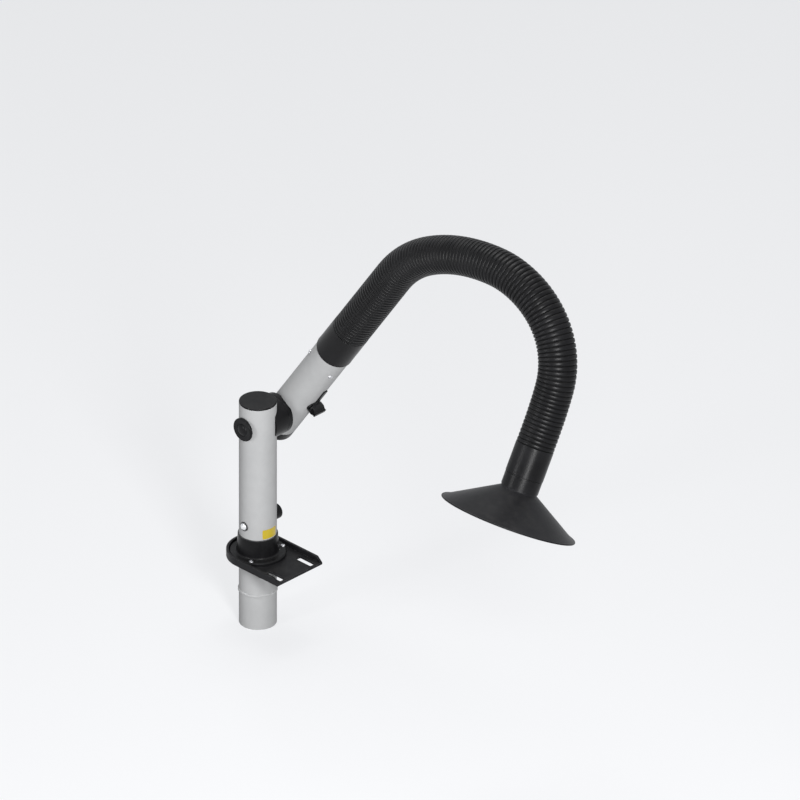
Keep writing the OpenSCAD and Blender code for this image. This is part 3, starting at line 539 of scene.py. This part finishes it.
# %% [markdown]
# Bare metals come last. Screws are zinc plated, the clamp bolt's dome is satin chrome, which
# catches the key lamp over half its face, and the gooseneck is dull wound steel. The label is a
# blank piece of glossy yellow vinyl.

# %% Small metals and the label
bright_steel = finish(
    "bright_steel", tones=((0.58, 0.58, 0.60), (0.68, 0.68, 0.70)), rough=(0.22, 0.34),
    metallic=1.0, skin=(1800.0, 0.00002), worn=(0.8, 0.8, 0.8), dust=0.06, reach=0.0004,
)
chrome = finish(
    "chrome", tones=((0.84, 0.85, 0.86), (0.90, 0.90, 0.92)), rough=(0.24, 0.32), metallic=1.0,
    skin=(500.0, 0.000006), dust=0.04,
)
gooseneck_steel = finish(
    "gooseneck_steel", tones=((0.3, 0.3, 0.31), (0.4, 0.4, 0.42)), rough=(0.35, 0.5), metallic=1.0,
    skin=(900.0, 0.00004), dust=0.1, attribute="straight",
)
yellow_label = finish(
    "yellow_label", tones=((0.62, 0.45, 0.015), (0.70, 0.53, 0.025)), rough=(0.28, 0.4),
    skin=(350.0, 0.00002), worn=(0.62, 0.5, 0.08), dust=0.08, spread=60.0, reach=0.0005,
    Coat_Weight=0.25, Coat_Roughness=0.15,
)

# %% [markdown]
# Most of the arm is turned work, so one helper stands for the lathe. It adds a circle, then
# extrudes and scales it from point to point of a profile, as one would by hand with E and S. Spin
# would give the same shape from a drawn outline. Extruding rings has the advantage that every
# ring is there to be selected later.

# %% Lathe
def only(piece):
    """Selects this object alone and makes it active."""
    bpy.ops.object.select_all(action="DESELECT")
    piece.select_set(True)
    bpy.context.view_layer.objects.active = piece


def edit(piece):
    """Opens this object alone in edit mode, with all of it selected."""
    only(piece)
    bpy.ops.object.mode_set(mode="EDIT")
    bpy.ops.mesh.select_all(action="SELECT")


def turned(name, profile, sides=96, closed=True):
    """A profile of (radius, height) in millimetres round local Z. An open one is capped."""
    radius, height = profile[0]
    bpy.ops.mesh.primitive_circle_add(
        vertices=sides, radius=radius * MM, location=(0, 0, height * MM)
    )
    piece = bpy.context.object
    piece.name = piece.data.name = name
    bpy.ops.object.transform_apply(location=True)
    edit(piece)
    for r, h in list(profile[1:]) + ([profile[0]] if closed else []):
        rise = {"value": (0, 0, (h - height) * MM)}
        bpy.ops.mesh.extrude_region_move(TRANSFORM_OT_translate=rise)
        bpy.ops.transform.resize(value=(r / radius, r / radius, 1), center_override=(0, 0, 0))
        radius, height = r, h
    bpy.ops.mesh.select_all(action="SELECT")
    bpy.ops.mesh.remove_doubles(threshold=1e-7)
    if not closed:
        bpy.ops.mesh.fill_holes(sides=0)
    bpy.ops.mesh.select_all(action="SELECT")
    bpy.ops.mesh.normals_make_consistent(inside=False)
    bpy.ops.object.mode_set(mode="OBJECT")
    return piece


def arc(r, z, radius, start, stop, steps=5):
    """Points of an arc round (r, z); angles in degrees from outwards, towards +Z."""
    angles = [math.radians(start + (stop - start) * i / steps) for i in range(steps + 1)]
    return [(r + radius * math.cos(a), z + radius * math.sin(a)) for a in angles]


# %% [markdown]
# Every new piece is finished the same way: it goes to its place and the place is applied to its
# mesh, its shading is smoothed up to a crease angle and weighted by face size, so that flat faces
# look flat, and it is told which CAD solid it stands for and which body it moves with.

# %% Placing and finishing a piece
def apply_modifier(piece, kind, **values):
    """Adds one modifier with these settings and applies it."""
    only(piece)
    modifier = piece.modifiers.new(kind.lower(), kind)
    for key, value in values.items():
        setattr(modifier, key, value)
    bpy.ops.object.modifier_apply(modifier=modifier.name)


def smooth(piece, angle=38):
    """Smooth shading up to a crease angle, with flat faces kept flat."""
    only(piece)
    bpy.ops.object.shade_smooth_by_angle(angle=math.radians(angle))
    apply_modifier(piece, "WEIGHTED_NORMAL", keep_sharp=True, weight=80)


def place(piece, where):
    """Moves a piece and puts its place into its mesh."""
    only(piece)
    piece.matrix_world = where
    bpy.ops.object.transform_apply(location=True, rotation=True, scale=True)


def stands_for(piece, node, material):
    """The piece takes a CAD solid's place, body and finish."""
    piece.data.materials.clear()
    piece.data.materials.append(material)
    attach(piece, frame["nodes"][node]["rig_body"])
    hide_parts(node)
    size = " x ".join(f"{side / MM:.1f}" for side in piece.dimensions)
    print(f"{piece.name}: {len(piece.data.polygons)} faces, {size} mm")


def fit(piece, where, node, material, angle=38):
    """Smooths a turned piece, puts it in its place and lets it stand for a CAD solid."""
    smooth(piece, angle)
    place(piece, where)
    stands_for(piece, node, material)


def turn_about(axis, degrees):
    """A turn about the X, Y or Z axis."""
    return Matrix.Rotation(math.radians(degrees), 4, axis)


def move(x, y, z):
    """A shift in millimetres."""
    return Matrix.Translation((x * MM, y * MM, z * MM))


ON_ARM = move(0, ARM_Y, ELBOW_Z) @ turn_about("Y", 90 - ARM_RISE)
ON_DAMPER = ON_ARM @ move(0, 0, DAMPER_AT) @ turn_about("Y", 90)

# %% [markdown]
# Plates, drums and tubes have the right shape in the CAD model already, but their edges are
# mathematically sharp, and no real edge is. A copy of the solid is welded, its flat faces are
# joined, and a small bevel rounds the edges, so that they catch the light.

# %% Softened copies of CAD solids
def softened(node, name, radius):
    """A welded copy of a CAD solid with rounded edges; the radius is in millimetres."""
    piece = bpy.data.objects.new(name, frame["nodes"][node].data.copy())
    bpy.context.scene.collection.objects.link(piece)
    edit(piece)
    bpy.ops.mesh.remove_doubles(threshold=1e-6)
    bpy.ops.mesh.dissolve_limited(angle_limit=math.radians(0.4))
    bpy.ops.object.mode_set(mode="OBJECT")
    apply_modifier(
        piece, "BEVEL", width=radius * MM, segments=3, limit_method="ANGLE",
        angle_limit=math.radians(30), use_clamp_overlap=True, miter_outer="MITER_ARC",
    )
    smooth(piece)
    return piece


SOFTENED = (  # CAD solid, new name, edge radius in mm, material, slot
    ("mount_plate", "bench_plate", 0.6, plate_powder, "plate_powder"),
    ("swivel_collar", "swivel_collar_moulding", 0.7, black_plastic, "black_plastic"),
    ("outlet_tube", "outlet_tube_deburred", 0.3, post_aluminium, "anodised_aluminium"),
    ("post_tube", "post_tube_deburred", 0.3, post_aluminium, "anodised_aluminium"),
    ("arm_tube", "arm_tube_deburred", 0.3, arm_aluminium, "anodised_aluminium"),
    ("post_joint_drum", "post_joint_moulding", 0.8, black_plastic, "black_plastic"),
    ("arm_joint_disc", "arm_joint_moulding", 0.8, black_plastic, "black_plastic"),
    ("damper_base", "damper_base_moulding", 0.5, black_plastic, "black_plastic"),
    ("damper_handle", "damper_wing", 0.7, black_plastic, "black_plastic"),
)
for node, name, radius, material, slot in SOFTENED:
    stands_for(softened(node, name, radius), node, material)

# %% [markdown]
# The post's cap and the arm's end cap are mouldings pushed into the tubes: a plug that can't be
# seen and a face with a rounded edge. They are turned, with an open profile that is capped at both
# ends.

# %% End caps
PLUG_R, PLUG_LEN = BORE_R - 0.1, 8.0
PLUG = [
    (PLUG_R - 0.8, -PLUG_LEN), (PLUG_R, -PLUG_LEN + 0.8), (PLUG_R, 0), (TUBE_R - 0.15, 0),
    (TUBE_R, 0.15),
]
POST_END, ARM_END = 231.55, -32.05
CAPS = (  # name, CAD solid, skirt's height, its rounding, steps of that, place
    ("post_cap_moulding", "post_cap", 2.2, 0.9, 5, move(0, 0, POST_END)),
    ("arm_end_moulding", "arm_end_cap", 19.0, 7.0, 12,
     ON_ARM @ move(0, 0, ARM_END) @ turn_about("X", 180)),
)
for name, node, skirt, rounding, steps, where in CAPS:
    shoulder = arc(TUBE_R - rounding, skirt - rounding, rounding, 0, 90, steps)
    cap = turned(name, PLUG + shoulder, closed=False)
    fit(cap, where, node, black_plastic)

# %% [markdown]
# The friction knob is a low dish with a rounded rim and a domed button in a groove in its middle,
# and the clamp knob is a plain round one. Both are hollow behind for their rod, so their profiles
# end in a blind hole. Its floor and the knob's face end in a very small ring, which is then filled.

# %% Knobs
KNOB_R, KNOB_BACK, KNOB_HOLE, KNOB_FACE, BUTTON_R = 16.4, 25.4, 30.31, 29.8, 8.0
friction_knob = turned(
    "friction_knob_moulding",
    [(0.4, KNOB_HOLE), (4.08, KNOB_HOLE), (4.08, 28.1), (9.2, 28.1), (9.2, KNOB_BACK + 0.3),
     (9.5, KNOB_BACK)]
    + arc(KNOB_R - 1.5, KNOB_BACK + 1.5, 1.5, -90, 0)
    + arc(KNOB_R - 1.6, KNOB_FACE - 1.6, 1.6, 0, 90)
    + [(13.2, KNOB_FACE - 0.15), (10.4, KNOB_FACE - 0.4), (BUTTON_R + 1.5, KNOB_FACE - 0.5),
       (BUTTON_R + 1.1, KNOB_FACE - 1.2), (BUTTON_R + 0.5, KNOB_FACE - 1.2),
       (BUTTON_R, KNOB_FACE - 0.4), (7.4, KNOB_FACE + 0.3), (6.2, KNOB_FACE + 0.9),
       (4.6, KNOB_FACE + 1.3), (2.6, KNOB_FACE + 1.52), (0.4, KNOB_FACE + 1.6)],
    closed=False,
)
knob_seat = move(0, 0, ELBOW_Z) @ turn_about("X", 90)
fit(friction_knob, knob_seat, "friction_knob", black_plastic)

CLAMP_KNOB_R, CLAMP_KNOB_T = 10.5, 11.6
clamp_knob = turned(
    "clamp_knob_moulding",
    [(0.3, 8.6), (3.08, 8.6), (3.08, 0)]
    + arc(CLAMP_KNOB_R - 1.2, 1.2, 1.2, -90, 0)
    + arc(CLAMP_KNOB_R - 2.2, CLAMP_KNOB_T - 2.2, 2.2, 0, 90, 7)
    + [(4.0, CLAMP_KNOB_T), (0.3, CLAMP_KNOB_T)],
    sides=72, closed=False,
)
clamp_seat = move(0, TUBE_R + SEAT_GAP, CLAMP_Z) @ turn_about("X", -90)
fit(clamp_knob, clamp_seat, "clamp_knob", black_plastic)

# %% [markdown]
# The clamp bolt shows only its chromed dome. A dome could be half a sphere, but a bolt's is
# flatter and meets its edge with a short straight wall, so it is turned too.

# %% Clamp bolt
DOME_R, DOME_H, DOME_CURVE, BOLT_R, BOLT_TIP = 5.0, 3.0, 7.5, 3.0, -33.55
bolt_head = TUBE_R + 1.0
dome = arc(0, bolt_head + DOME_H - DOME_CURVE, DOME_CURVE, 45, 88, 10)
clamp_bolt = turned(
    "clamp_bolt_chromed",
    [(BOLT_R - 0.4, BOLT_TIP), (BOLT_R, BOLT_TIP + 0.4), (BOLT_R, bolt_head),
     (DOME_R - 0.2, bolt_head), (DOME_R, bolt_head + 0.2), (DOME_R, bolt_head + 0.55)]
    + [point for point in dome if point[0] < DOME_R - 0.1],
    sides=64, closed=False,
)
bolt_seat = move(0, 0, CLAMP_Z) @ turn_about("X", 90)
fit(clamp_bolt, bolt_seat, "clamp_bolt", chrome, angle=50)

# %% [markdown]
# Button screws hold the flange, the outlet tube and the spider. One screw is turned with a low
# dome, a six-sided socket is cut in it with a Boolean modifier, and it is copied to each place,
# every copy with a mesh of its own. The copies of one kind are joined into one piece.

# %% Screws
def screw_set(name, head_r, head_h, shank, places):
    """Button screws whose heads stand on Z 0, one at each place; sizes in millimetres."""
    dome_top = arc(0, head_h - 2 * head_r, 2 * head_r, 64, 83, 5)
    screw = turned(
        name,
        [(1.7, -shank), (2.0, -shank + 0.3), (2.0, 0), (head_r - 0.15, 0), (head_r, 0.15)]
        + [(r, z) for r, z in dome_top if r < head_r - 0.05],
        sides=32, closed=False,
    )
    bpy.ops.mesh.primitive_cylinder_add(
        vertices=6, radius=0.42 * head_r * MM, depth=2 * MM, location=(0, 0, head_h * MM)
    )
    socket = bpy.context.object
    apply_modifier(screw, "BOOLEAN", operation="DIFFERENCE", object=socket, solver="EXACT")
    bpy.data.objects.remove(socket)
    copies = []
    for where in places:
        only(screw)
        bpy.ops.object.duplicate(linked=False)
        copies.append(bpy.context.object)
        place(copies[-1], where)
    bpy.data.objects.remove(screw)
    for copy in copies:
        copy.select_set(True)
    bpy.context.view_layer.objects.active = copies[0]
    bpy.ops.object.join()
    joined = copies[0]
    joined.name = joined.data.name = name
    smooth(joined, 35)
    return joined


FLANGE_TOP, FLANGE_SCREW_R, OUTLET_SCREW_Z = 8.05, 34, -15
SPIDER_AT, SPIDER_FIRST = 118, -27
on_tube = turn_about("Y", 90) @ move(0, 0, TUBE_R + SEAT_GAP)
flange_places = [
    turn_about("Z", 60 + 120 * k) @ move(FLANGE_SCREW_R, 0, FLANGE_TOP) for k in range(3)
]
outlet_places = [
    turn_about("Z", 180 * k) @ move(0, 0, OUTLET_SCREW_Z) @ on_tube for k in range(2)
]
spider_places = [
    ON_ARM @ turn_about("Z", SPIDER_FIRST + 120 * k) @ move(0, 0, SPIDER_AT) @ on_tube
    for k in range(3)
]
SCREWS = (  # CAD solid, head radius, head height, shank, places
    ("flange_screws", 3.1, 2.0, 8.0, flange_places),
    ("outlet_screws", 3.2, 1.8, 4.1, outlet_places),
    ("spider_screws", 3.2, 1.8, 4.5, spider_places),
)
for node, head_r, head_h, shank, places in SCREWS:
    screws = screw_set(node.replace("screws", "button_screws"), head_r, head_h, shank, places)
    stands_for(screws, node, bright_steel)

# %% [markdown]
# The hose ends in smooth rubber cuffs. Each is a turned sleeve with rounded lips. The one at the
# root has a slightly thicker lip where it grips the arm tube.

# %% Cuffs
CUFF_IN, CUFF_OUT, ROOT_CUFF_AT, ROOT_CUFF_LEN = 25.1, 26.1, 144, 54.95
root_cuff = turned(
    "root_cuff",
    [(CUFF_IN, ROOT_CUFF_LEN), (CUFF_IN, 0.4), (CUFF_IN + 0.3, 0)]
    + arc(CUFF_OUT - 0.75, 0.95, 0.95, -90, 0)
    + [(CUFF_OUT + 0.2, 1.9), (CUFF_OUT + 0.08, 2.5), (CUFF_OUT, 3.1), (CUFF_OUT, 28)]
    + arc(CUFF_OUT - 0.6, ROOT_CUFF_LEN - 0.6, 0.6, 0, 90),
)
root_seat = ON_ARM @ move(0, 0, ROOT_CUFF_AT)
fit(root_cuff, root_seat, "root_cuff_sleeve", black_plastic)

# %% [markdown]
# The hose follows a route of straights and bends, the same one that the CAD model is built on. The
# rise turns through three bends while the end leans sideways. The route is walked in half-rib
# steps and kept as a list, in millimetres, and any point of it is read from that list.

# %% The hose's route
RIBS = 106
STATIONS = 2 * RIBS
BENDS = ((135.0, 195.0, 26.0), (None, 280.0, 27.5), (None, 125.0, 91.5))  # start, radius, turn
TAIL_RUN, HOSE_LEAN, LEAN_SHARE = 81.0, 29.0, 0.63

bend_list, run = [], 0.0
for start, radius, turn in BENDS:
    run = start if start is not None else run
    bend_list.append((run, radius, turn))
    run += radius * math.radians(turn)
HOSE_LEN = run + TAIL_RUN
STATION = HOSE_LEN / STATIONS
PITCH = 2 * STATION


def rise_at(s):
    """The hose's rise in radians at a length from its first rib."""
    rise = ARM_RISE
    for start, radius, turn in bend_list:
        rise -= turn * min(max((s - start) / (radius * math.radians(turn)), 0), 1)
    return math.radians(rise)


def way_at(s):
    """Unit direction of the hose, leaning sideways towards its end."""
    lean_from = LEAN_SHARE * HOSE_LEN
    share = min(max((s - lean_from) / (HOSE_LEN - lean_from), 0), 1)
    lean = math.radians(HOSE_LEAN * share * share * (3 - 2 * share))
    rise = rise_at(s)
    along = math.cos(lean)
    return Vector((along * math.cos(rise), -math.sin(lean), along * math.sin(rise)))


def over_at(s):
    """Unit direction across the hose on its upper side, in the arm's plane."""
    rise = rise_at(s)
    return Vector((-math.sin(rise), 0, math.cos(rise)))


route = [ON_ARM @ Vector((0, 0, RIB_START * MM)) / MM]
for i in range(STATIONS):
    route.append(route[-1] + STATION * way_at((i + 0.5) * STATION))


def spot(s):
    """A point of the route, in millimetres, at any length from the first rib."""
    if s <= 0:
        return route[0] + s * way_at(0)
    if s >= HOSE_LEN:
        return route[-1] + (s - HOSE_LEN) * way_at(HOSE_LEN)
    i = int(s / STATION)
    return route[i] + (s - i * STATION) * way_at(s)


END_RISE = ARM_RISE - sum(turn for _, _, turn in bend_list)
ON_END = move(*route[-1]) @ turn_about("Y", 90 - END_RISE) @ turn_about("X", HOSE_LEAN)
hose_end = tuple(round(x, 1) for x in route[-1])
print(f"hose: {HOSE_LEN:.1f} mm, {RIBS} ribs of {PITCH:.2f} mm, end at", hose_end)

# %% [markdown]
# One rib is modelled and repeated with an Array modifier, and so is one step of the smooth bore.
# The two are joined into a straight tube with closed ends. Only then is the tube laid along the
# route, ring by ring, with the straight place kept in an attribute. A Curve modifier would bend it
# as well, but it can't be held to the CAD route so exactly.

# %% Laying a straight tube along the route
def lay_on_route(piece):
    """Moves each point of a straight tube (along Z from 0, metres) to its place on the route."""
    mesh = piece.data
    straight = mesh.attributes.new("straight", "FLOAT_VECTOR", "POINT")
    rings = {}
    for vertex in mesh.vertices:
        x, y, z = vertex.co
        straight.data[vertex.index].vector = (x, y, z)
        key = round(z / MM, 3)
        if key not in rings:
            over, way = over_at(key), way_at(key)
            rings[key] = (spot(key) * MM, over, way.cross(over))
        middle, over, side = rings[key]
        vertex.co = middle + x * over + y * side
    mesh.update()


def laid(piece, low, crease, node, material):
    """Lifts a straight length along Z, lays it on the route and lets it stand for a CAD solid."""
    edit(piece)
    bpy.ops.transform.translate(value=(0, 0, low * MM))
    bpy.ops.mesh.normals_make_consistent(inside=False)
    bpy.ops.object.mode_set(mode="OBJECT")
    lay_on_route(piece)
    only(piece)
    bpy.ops.object.shade_smooth_by_angle(angle=math.radians(crease))
    piece.data.materials.append(material)
    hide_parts(node)
    print(f"{piece.name}: {len(piece.data.polygons)} faces from {low:.1f} mm on")
    return piece


def array_of(name, profile, count, step, sides):
    """A turned strip, open at both ends and repeated along Z; sizes in millimetres."""
    strip = turned(name, profile, sides, closed=False)
    only(strip)
    bpy.ops.object.mode_set(mode="EDIT")
    bpy.ops.mesh.select_all(action="DESELECT")
    bpy.ops.mesh.select_face_by_sides(number=4, type="GREATER")
    bpy.ops.mesh.delete(type="ONLY_FACE")
    bpy.ops.object.mode_set(mode="OBJECT")
    apply_modifier(
        strip, "ARRAY", count=count, use_relative_offset=False, use_constant_offset=True,
        constant_offset_displace=(0, 0, step * MM), use_merge_vertices=True, merge_threshold=1e-6,
    )
    return strip


def select_ring(piece, height, low_r=0.0):
    """In edit mode, selects the points at this height beyond a radius, in millimetres."""
    bpy.ops.object.mode_set(mode="EDIT")
    bpy.ops.mesh.select_all(action="DESELECT")
    bpy.ops.object.mode_set(mode="OBJECT")
    for vertex in piece.data.vertices:
        radius = math.hypot(vertex.co.x, vertex.co.y) / MM
        vertex.select = abs(vertex.co.z / MM - height) < 0.01 and radius > low_r
    bpy.ops.object.mode_set(mode="EDIT")


# %% [markdown]
# A hose rib is a broad rounded band with a narrow groove on each side. The tube is split in two
# lengths at the top of the arch, in a groove: the first runs from the arm to the hose's middle,
# the second from the middle to the hood's end, so each crosses one joint.

# %% Ribbed hose
HOSE_SIDES, SPLIT_RIB = 72, 60
VALLEY_R, CREST_R, HOSE_BORE_R = 24.2, 26.0, 22.2
TAIL_R, ROOT_TAIL, END_TAIL = 24.9, 17.0, 16.0
RIB_SHAPE = (  # share of the pitch, share of the rib's depth
    (0.0, 0.0), (0.05, 0.08), (0.09, 0.45), (0.14, 0.74), (0.24, 0.92), (0.5, 1.0),
    (0.76, 0.92), (0.86, 0.74), (0.91, 0.45), (0.95, 0.08), (1.0, 0.0),
)


def hose_length(name, first, last):
    """The hose from one rib to another, with its plain tail where it is the first or the last."""
    count = last - first
    outer = array_of(
        name, [(VALLEY_R + d * (CREST_R - VALLEY_R), a * PITCH) for a, d in RIB_SHAPE],
        count, PITCH, HOSE_SIDES,
    )
    bore = array_of(
        name + "_bore", [(HOSE_BORE_R, 0), (HOSE_BORE_R, PITCH)], count, PITCH, HOSE_SIDES
    )
    only(outer)
    bore.select_set(True)
    bpy.ops.object.join()
    top = count * PITCH
    for at, is_end, tail in ((0, first == 0, -ROOT_TAIL), (top, last == RIBS, END_TAIL)):
        if is_end:
            select_ring(outer, at, VALLEY_R - 0.5)
            grow = TAIL_R / VALLEY_R
            bpy.ops.transform.resize(value=(grow, grow, 1), center_override=(0, 0, at * MM))
        select_ring(outer, at)
        if is_end:
            bpy.ops.mesh.extrude_region_move(TRANSFORM_OT_translate={"value": (0, 0, tail * MM)})
        bpy.ops.mesh.bridge_edge_loops()
    bpy.ops.object.mode_set(mode="OBJECT")
    crown = outer.data.attributes.new("crown", "FLOAT", "POINT")
    for vertex in outer.data.vertices:
        radius = math.hypot(vertex.co.x, vertex.co.y) / MM
        crown.data[vertex.index].value = (radius - VALLEY_R) / (CREST_R - VALLEY_R)
    return laid(outer, first * PITCH, 60, "ribbed_hose", hose_black)


def bend_between(piece, body_a, body_b, start, end):
    """Puts a piece's place into its mesh; the two bodies are not used."""
    spot(start) * MM
    spot(end) * MM
    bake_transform(piece)


UPPER_BEND, LOWER_BEND = (12.0, 340.0), (440.0, 632.0)
hose_upper = hose_length("hose_upper", 0, SPLIT_RIB)
bend_between(hose_upper, "arm", "hose", *UPPER_BEND)
hose_lower = hose_length("hose_lower", SPLIT_RIB, RIBS)
bend_between(hose_lower, "hose", "hose_end", *LOWER_BEND)

# %% [markdown]
# Inside runs the gooseneck, a steel strip wound round a spring, which keeps the hose where it is
# put. It shows only from under the hood, so each turn has just a few faces: a low rounded band on
# twelve sides.

# %% Gooseneck
NECK_PITCH, NECK_SIDES, NECK_R = 3.0, 12, 6.0
NECK_LOW, NECK_HIGH = -88.0, 659.501


def gooseneck_length(name, low, high):
    """The gooseneck between two lengths of the route, with closed ends."""
    count = round((high - low) / NECK_PITCH)
    step = (high - low) / count
    valley = NECK_R - 0.5
    one_turn = [(valley, 0), (NECK_R, 0.3 * step), (NECK_R, 0.75 * step), (valley, step)]
    neck = array_of(name, one_turn, count, step, NECK_SIDES)
    edit(neck)
    bpy.ops.mesh.fill_holes(sides=0)
    bpy.ops.object.mode_set(mode="OBJECT")
    return laid(neck, low, 45, "gooseneck", gooseneck_steel)


neck_split = SPLIT_RIB * PITCH
neck_upper = gooseneck_length("gooseneck_upper", NECK_LOW, neck_split)
bend_between(neck_upper, "arm", "hose", *UPPER_BEND)
neck_lower = gooseneck_length("gooseneck_lower", neck_split, NECK_HIGH)
bend_between(neck_lower, "hose", "hose_end", *LOWER_BEND)

# %% [markdown]
# At the hose's end come a smooth cuff, the hood's collar and the hood. The hood is spun from one
# sheet: a neck, a soft corner, a straight cone and an edge that is rolled over a wire. The roll
# makes the thin dark line along the hood's rim.

# %% End cuff, collar and hood
END_CUFF_LEN = 42.0
end_cuff = turned(
    "end_cuff",
    [(CUFF_IN, END_CUFF_LEN), (CUFF_IN, 0.05)]
    + arc(CUFF_OUT - 0.6, 0.65, 0.6, -90, 0)
    + [(CUFF_OUT, 20)] + arc(CUFF_OUT - 0.5, END_CUFF_LEN - 0.5, 0.5, 0, 90),
)
fit(end_cuff, ON_END, "end_cuff_sleeve", black_plastic)

COLLAR_IN, COLLAR_OUT, COLLAR_LOW, COLLAR_HIGH = 24.75, 25.7, 42.4, 60.0
hood_collar = turned(
    "hood_collar_ring",
    [(COLLAR_IN, COLLAR_HIGH), (COLLAR_IN, COLLAR_LOW)]
    + arc(COLLAR_OUT - 0.35, COLLAR_LOW + 0.35, 0.35, -90, 0, 4)
    + arc(COLLAR_OUT - 0.35, COLLAR_HIGH - 0.35, 0.35, 0, 90, 4),
)
fit(hood_collar, ON_END, "hood_collar", black_plastic)

# %% [markdown]
# The hood's profile runs down the outside, round the rolled edge and back up the inside at one
# sheet's distance. The corner between neck and cone is a small radius, because sheet can't be
# folded sharp.

# %% Hood
HOOD_NECK_R, SHEET = 23.65, 1.0
NECK_TOP, CONE_AT, HOOD_R, HOOD_H, ROLL_R = 46.0, 62.0, 93.5, 42.0, 1.3
outer_neck = HOOD_NECK_R + SHEET
roll_r, roll_z = HOOD_R - ROLL_R, CONE_AT + HOOD_H - ROLL_R
slope = math.atan2(roll_z - CONE_AT, roll_r - outer_neck)
sheet_drop = SHEET / math.cos(slope)
corner, ROLL_FROM, ROLL_TO = 3.0, -70, 219.7
reach = corner * math.tan((math.pi / 2 - slope) / 2)
corner_arc = arc(
    outer_neck + corner, CONE_AT - reach, corner, 180, 90 + math.degrees(slope), 6
)
cone_points = [
    (outer_neck + (roll_r - outer_neck) * k / 8, CONE_AT + (roll_z - CONE_AT) * k / 8)
    for k in range(1, 8)
]
outward = math.degrees(math.atan2(-math.cos(slope), math.sin(slope)))
roll = arc(roll_r, roll_z, ROLL_R, outward + ROLL_FROM, outward + ROLL_TO, 16)
inner_r = HOOD_NECK_R + 1.6
inner_z = CONE_AT + sheet_drop + (inner_r - HOOD_NECK_R - SHEET) * math.tan(slope)
inner_points = [
    (inner_r + (roll_r - inner_r) * k / 8, inner_z + (roll_r - inner_r) * k / 8 * math.tan(slope))
    for k in range(7, -1, -1)
]
inner_neck = [
    (HOOD_NECK_R + 0.5, CONE_AT + sheet_drop - 0.45), (HOOD_NECK_R, CONE_AT + 0.2),
    (HOOD_NECK_R, NECK_TOP + 0.1),
]
outer_top = [(outer_neck - 0.2, NECK_TOP), (outer_neck, NECK_TOP + 0.2)]
hood = turned(
    "hood_spun", outer_top + corner_arc + cone_points + roll + inner_points + inner_neck,
    sides=144,
)
fit(hood, ON_END, "hood_cone", hood_black, angle=50)

# %% [markdown]
# The label is a strip of thin vinyl round the post's foot. It starts as a flat grid. The points at
# its corners are drawn in to a round, all points are wrapped to the tube's curve, and a Solidify
# modifier gives it its thickness.

# %% Blank label
LABEL_FROM, LABEL_TURN, LABEL_LOW, LABEL_H, LABEL_T = -31.0, 53.0, 36.6, 13.5, 0.2
bpy.ops.mesh.primitive_grid_add(x_subdivisions=32, y_subdivisions=8, size=1)
label = bpy.context.object
label.name = label.data.name = "label_vinyl"
LABEL_CORNER = 1.4
radius = TUBE_R + SEAT_GAP
label_w = math.radians(LABEL_TURN) * radius
for vertex in label.data.vertices:
    across, up = vertex.co.x * label_w, vertex.co.y * LABEL_H
    side, rise = label_w / 2 - abs(across), LABEL_H / 2 - abs(up)
    if side < LABEL_CORNER and rise < LABEL_CORNER:
        dx, dy = LABEL_CORNER - side, LABEL_CORNER - rise
        pull = min(1.0, LABEL_CORNER / max(math.hypot(dx, dy), 1e-6))
        across = math.copysign(label_w / 2 - LABEL_CORNER + dx * pull, across)
        up = math.copysign(LABEL_H / 2 - LABEL_CORNER + dy * pull, up)
    angle = math.radians(LABEL_FROM + LABEL_TURN / 2) + across / radius
    vertex.co = (radius * math.cos(angle) * MM, radius * math.sin(angle) * MM,
                 (LABEL_LOW + LABEL_H / 2 + up) * MM)
apply_modifier(label, "SOLIDIFY", thickness=LABEL_T * MM, offset=1.0)
smooth(label, 35)
stands_for(label, "label_blank", yellow_label)

# %% [markdown]
# What stays of the CAD solids are the plain pieces inside and between: washers, bush, spigot,
# rods, springs and spiders. Their shapes are right as they are, so each only gets its finish in
# its own material slot.

# %% Finishes on the CAD solids that stay
KEPT = {
    "dark_plastic": (dark_plastic, ["swivel_bush", "lower_thrust_washer", "clamp_washer",
                                    "rod_saddle", "root_spider", "end_spider", "hood_sleeve"]),
    "inner_aluminium": (inner_aluminium, ["swivel_spigot", "spacer_sleeve", "damper_blade"]),
    "friction_liner": (friction_liner, ["friction_ring"]),
    "bright_steel": (bright_steel, ["disc_spring", "friction_rod", "rod_nut", "damper_spindle",
                                    "damper_blade_screws", "hood_retaining_ring"]),
}
for slot, (material, nodes) in KEPT.items():
    for node in nodes:
        frame["nodes"][node].data.materials[0] = material
    print(slot, "on", ", ".join(nodes))
shown = [o.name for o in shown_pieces() if "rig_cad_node" in o]
print("CAD solids that stay:", len(shown))
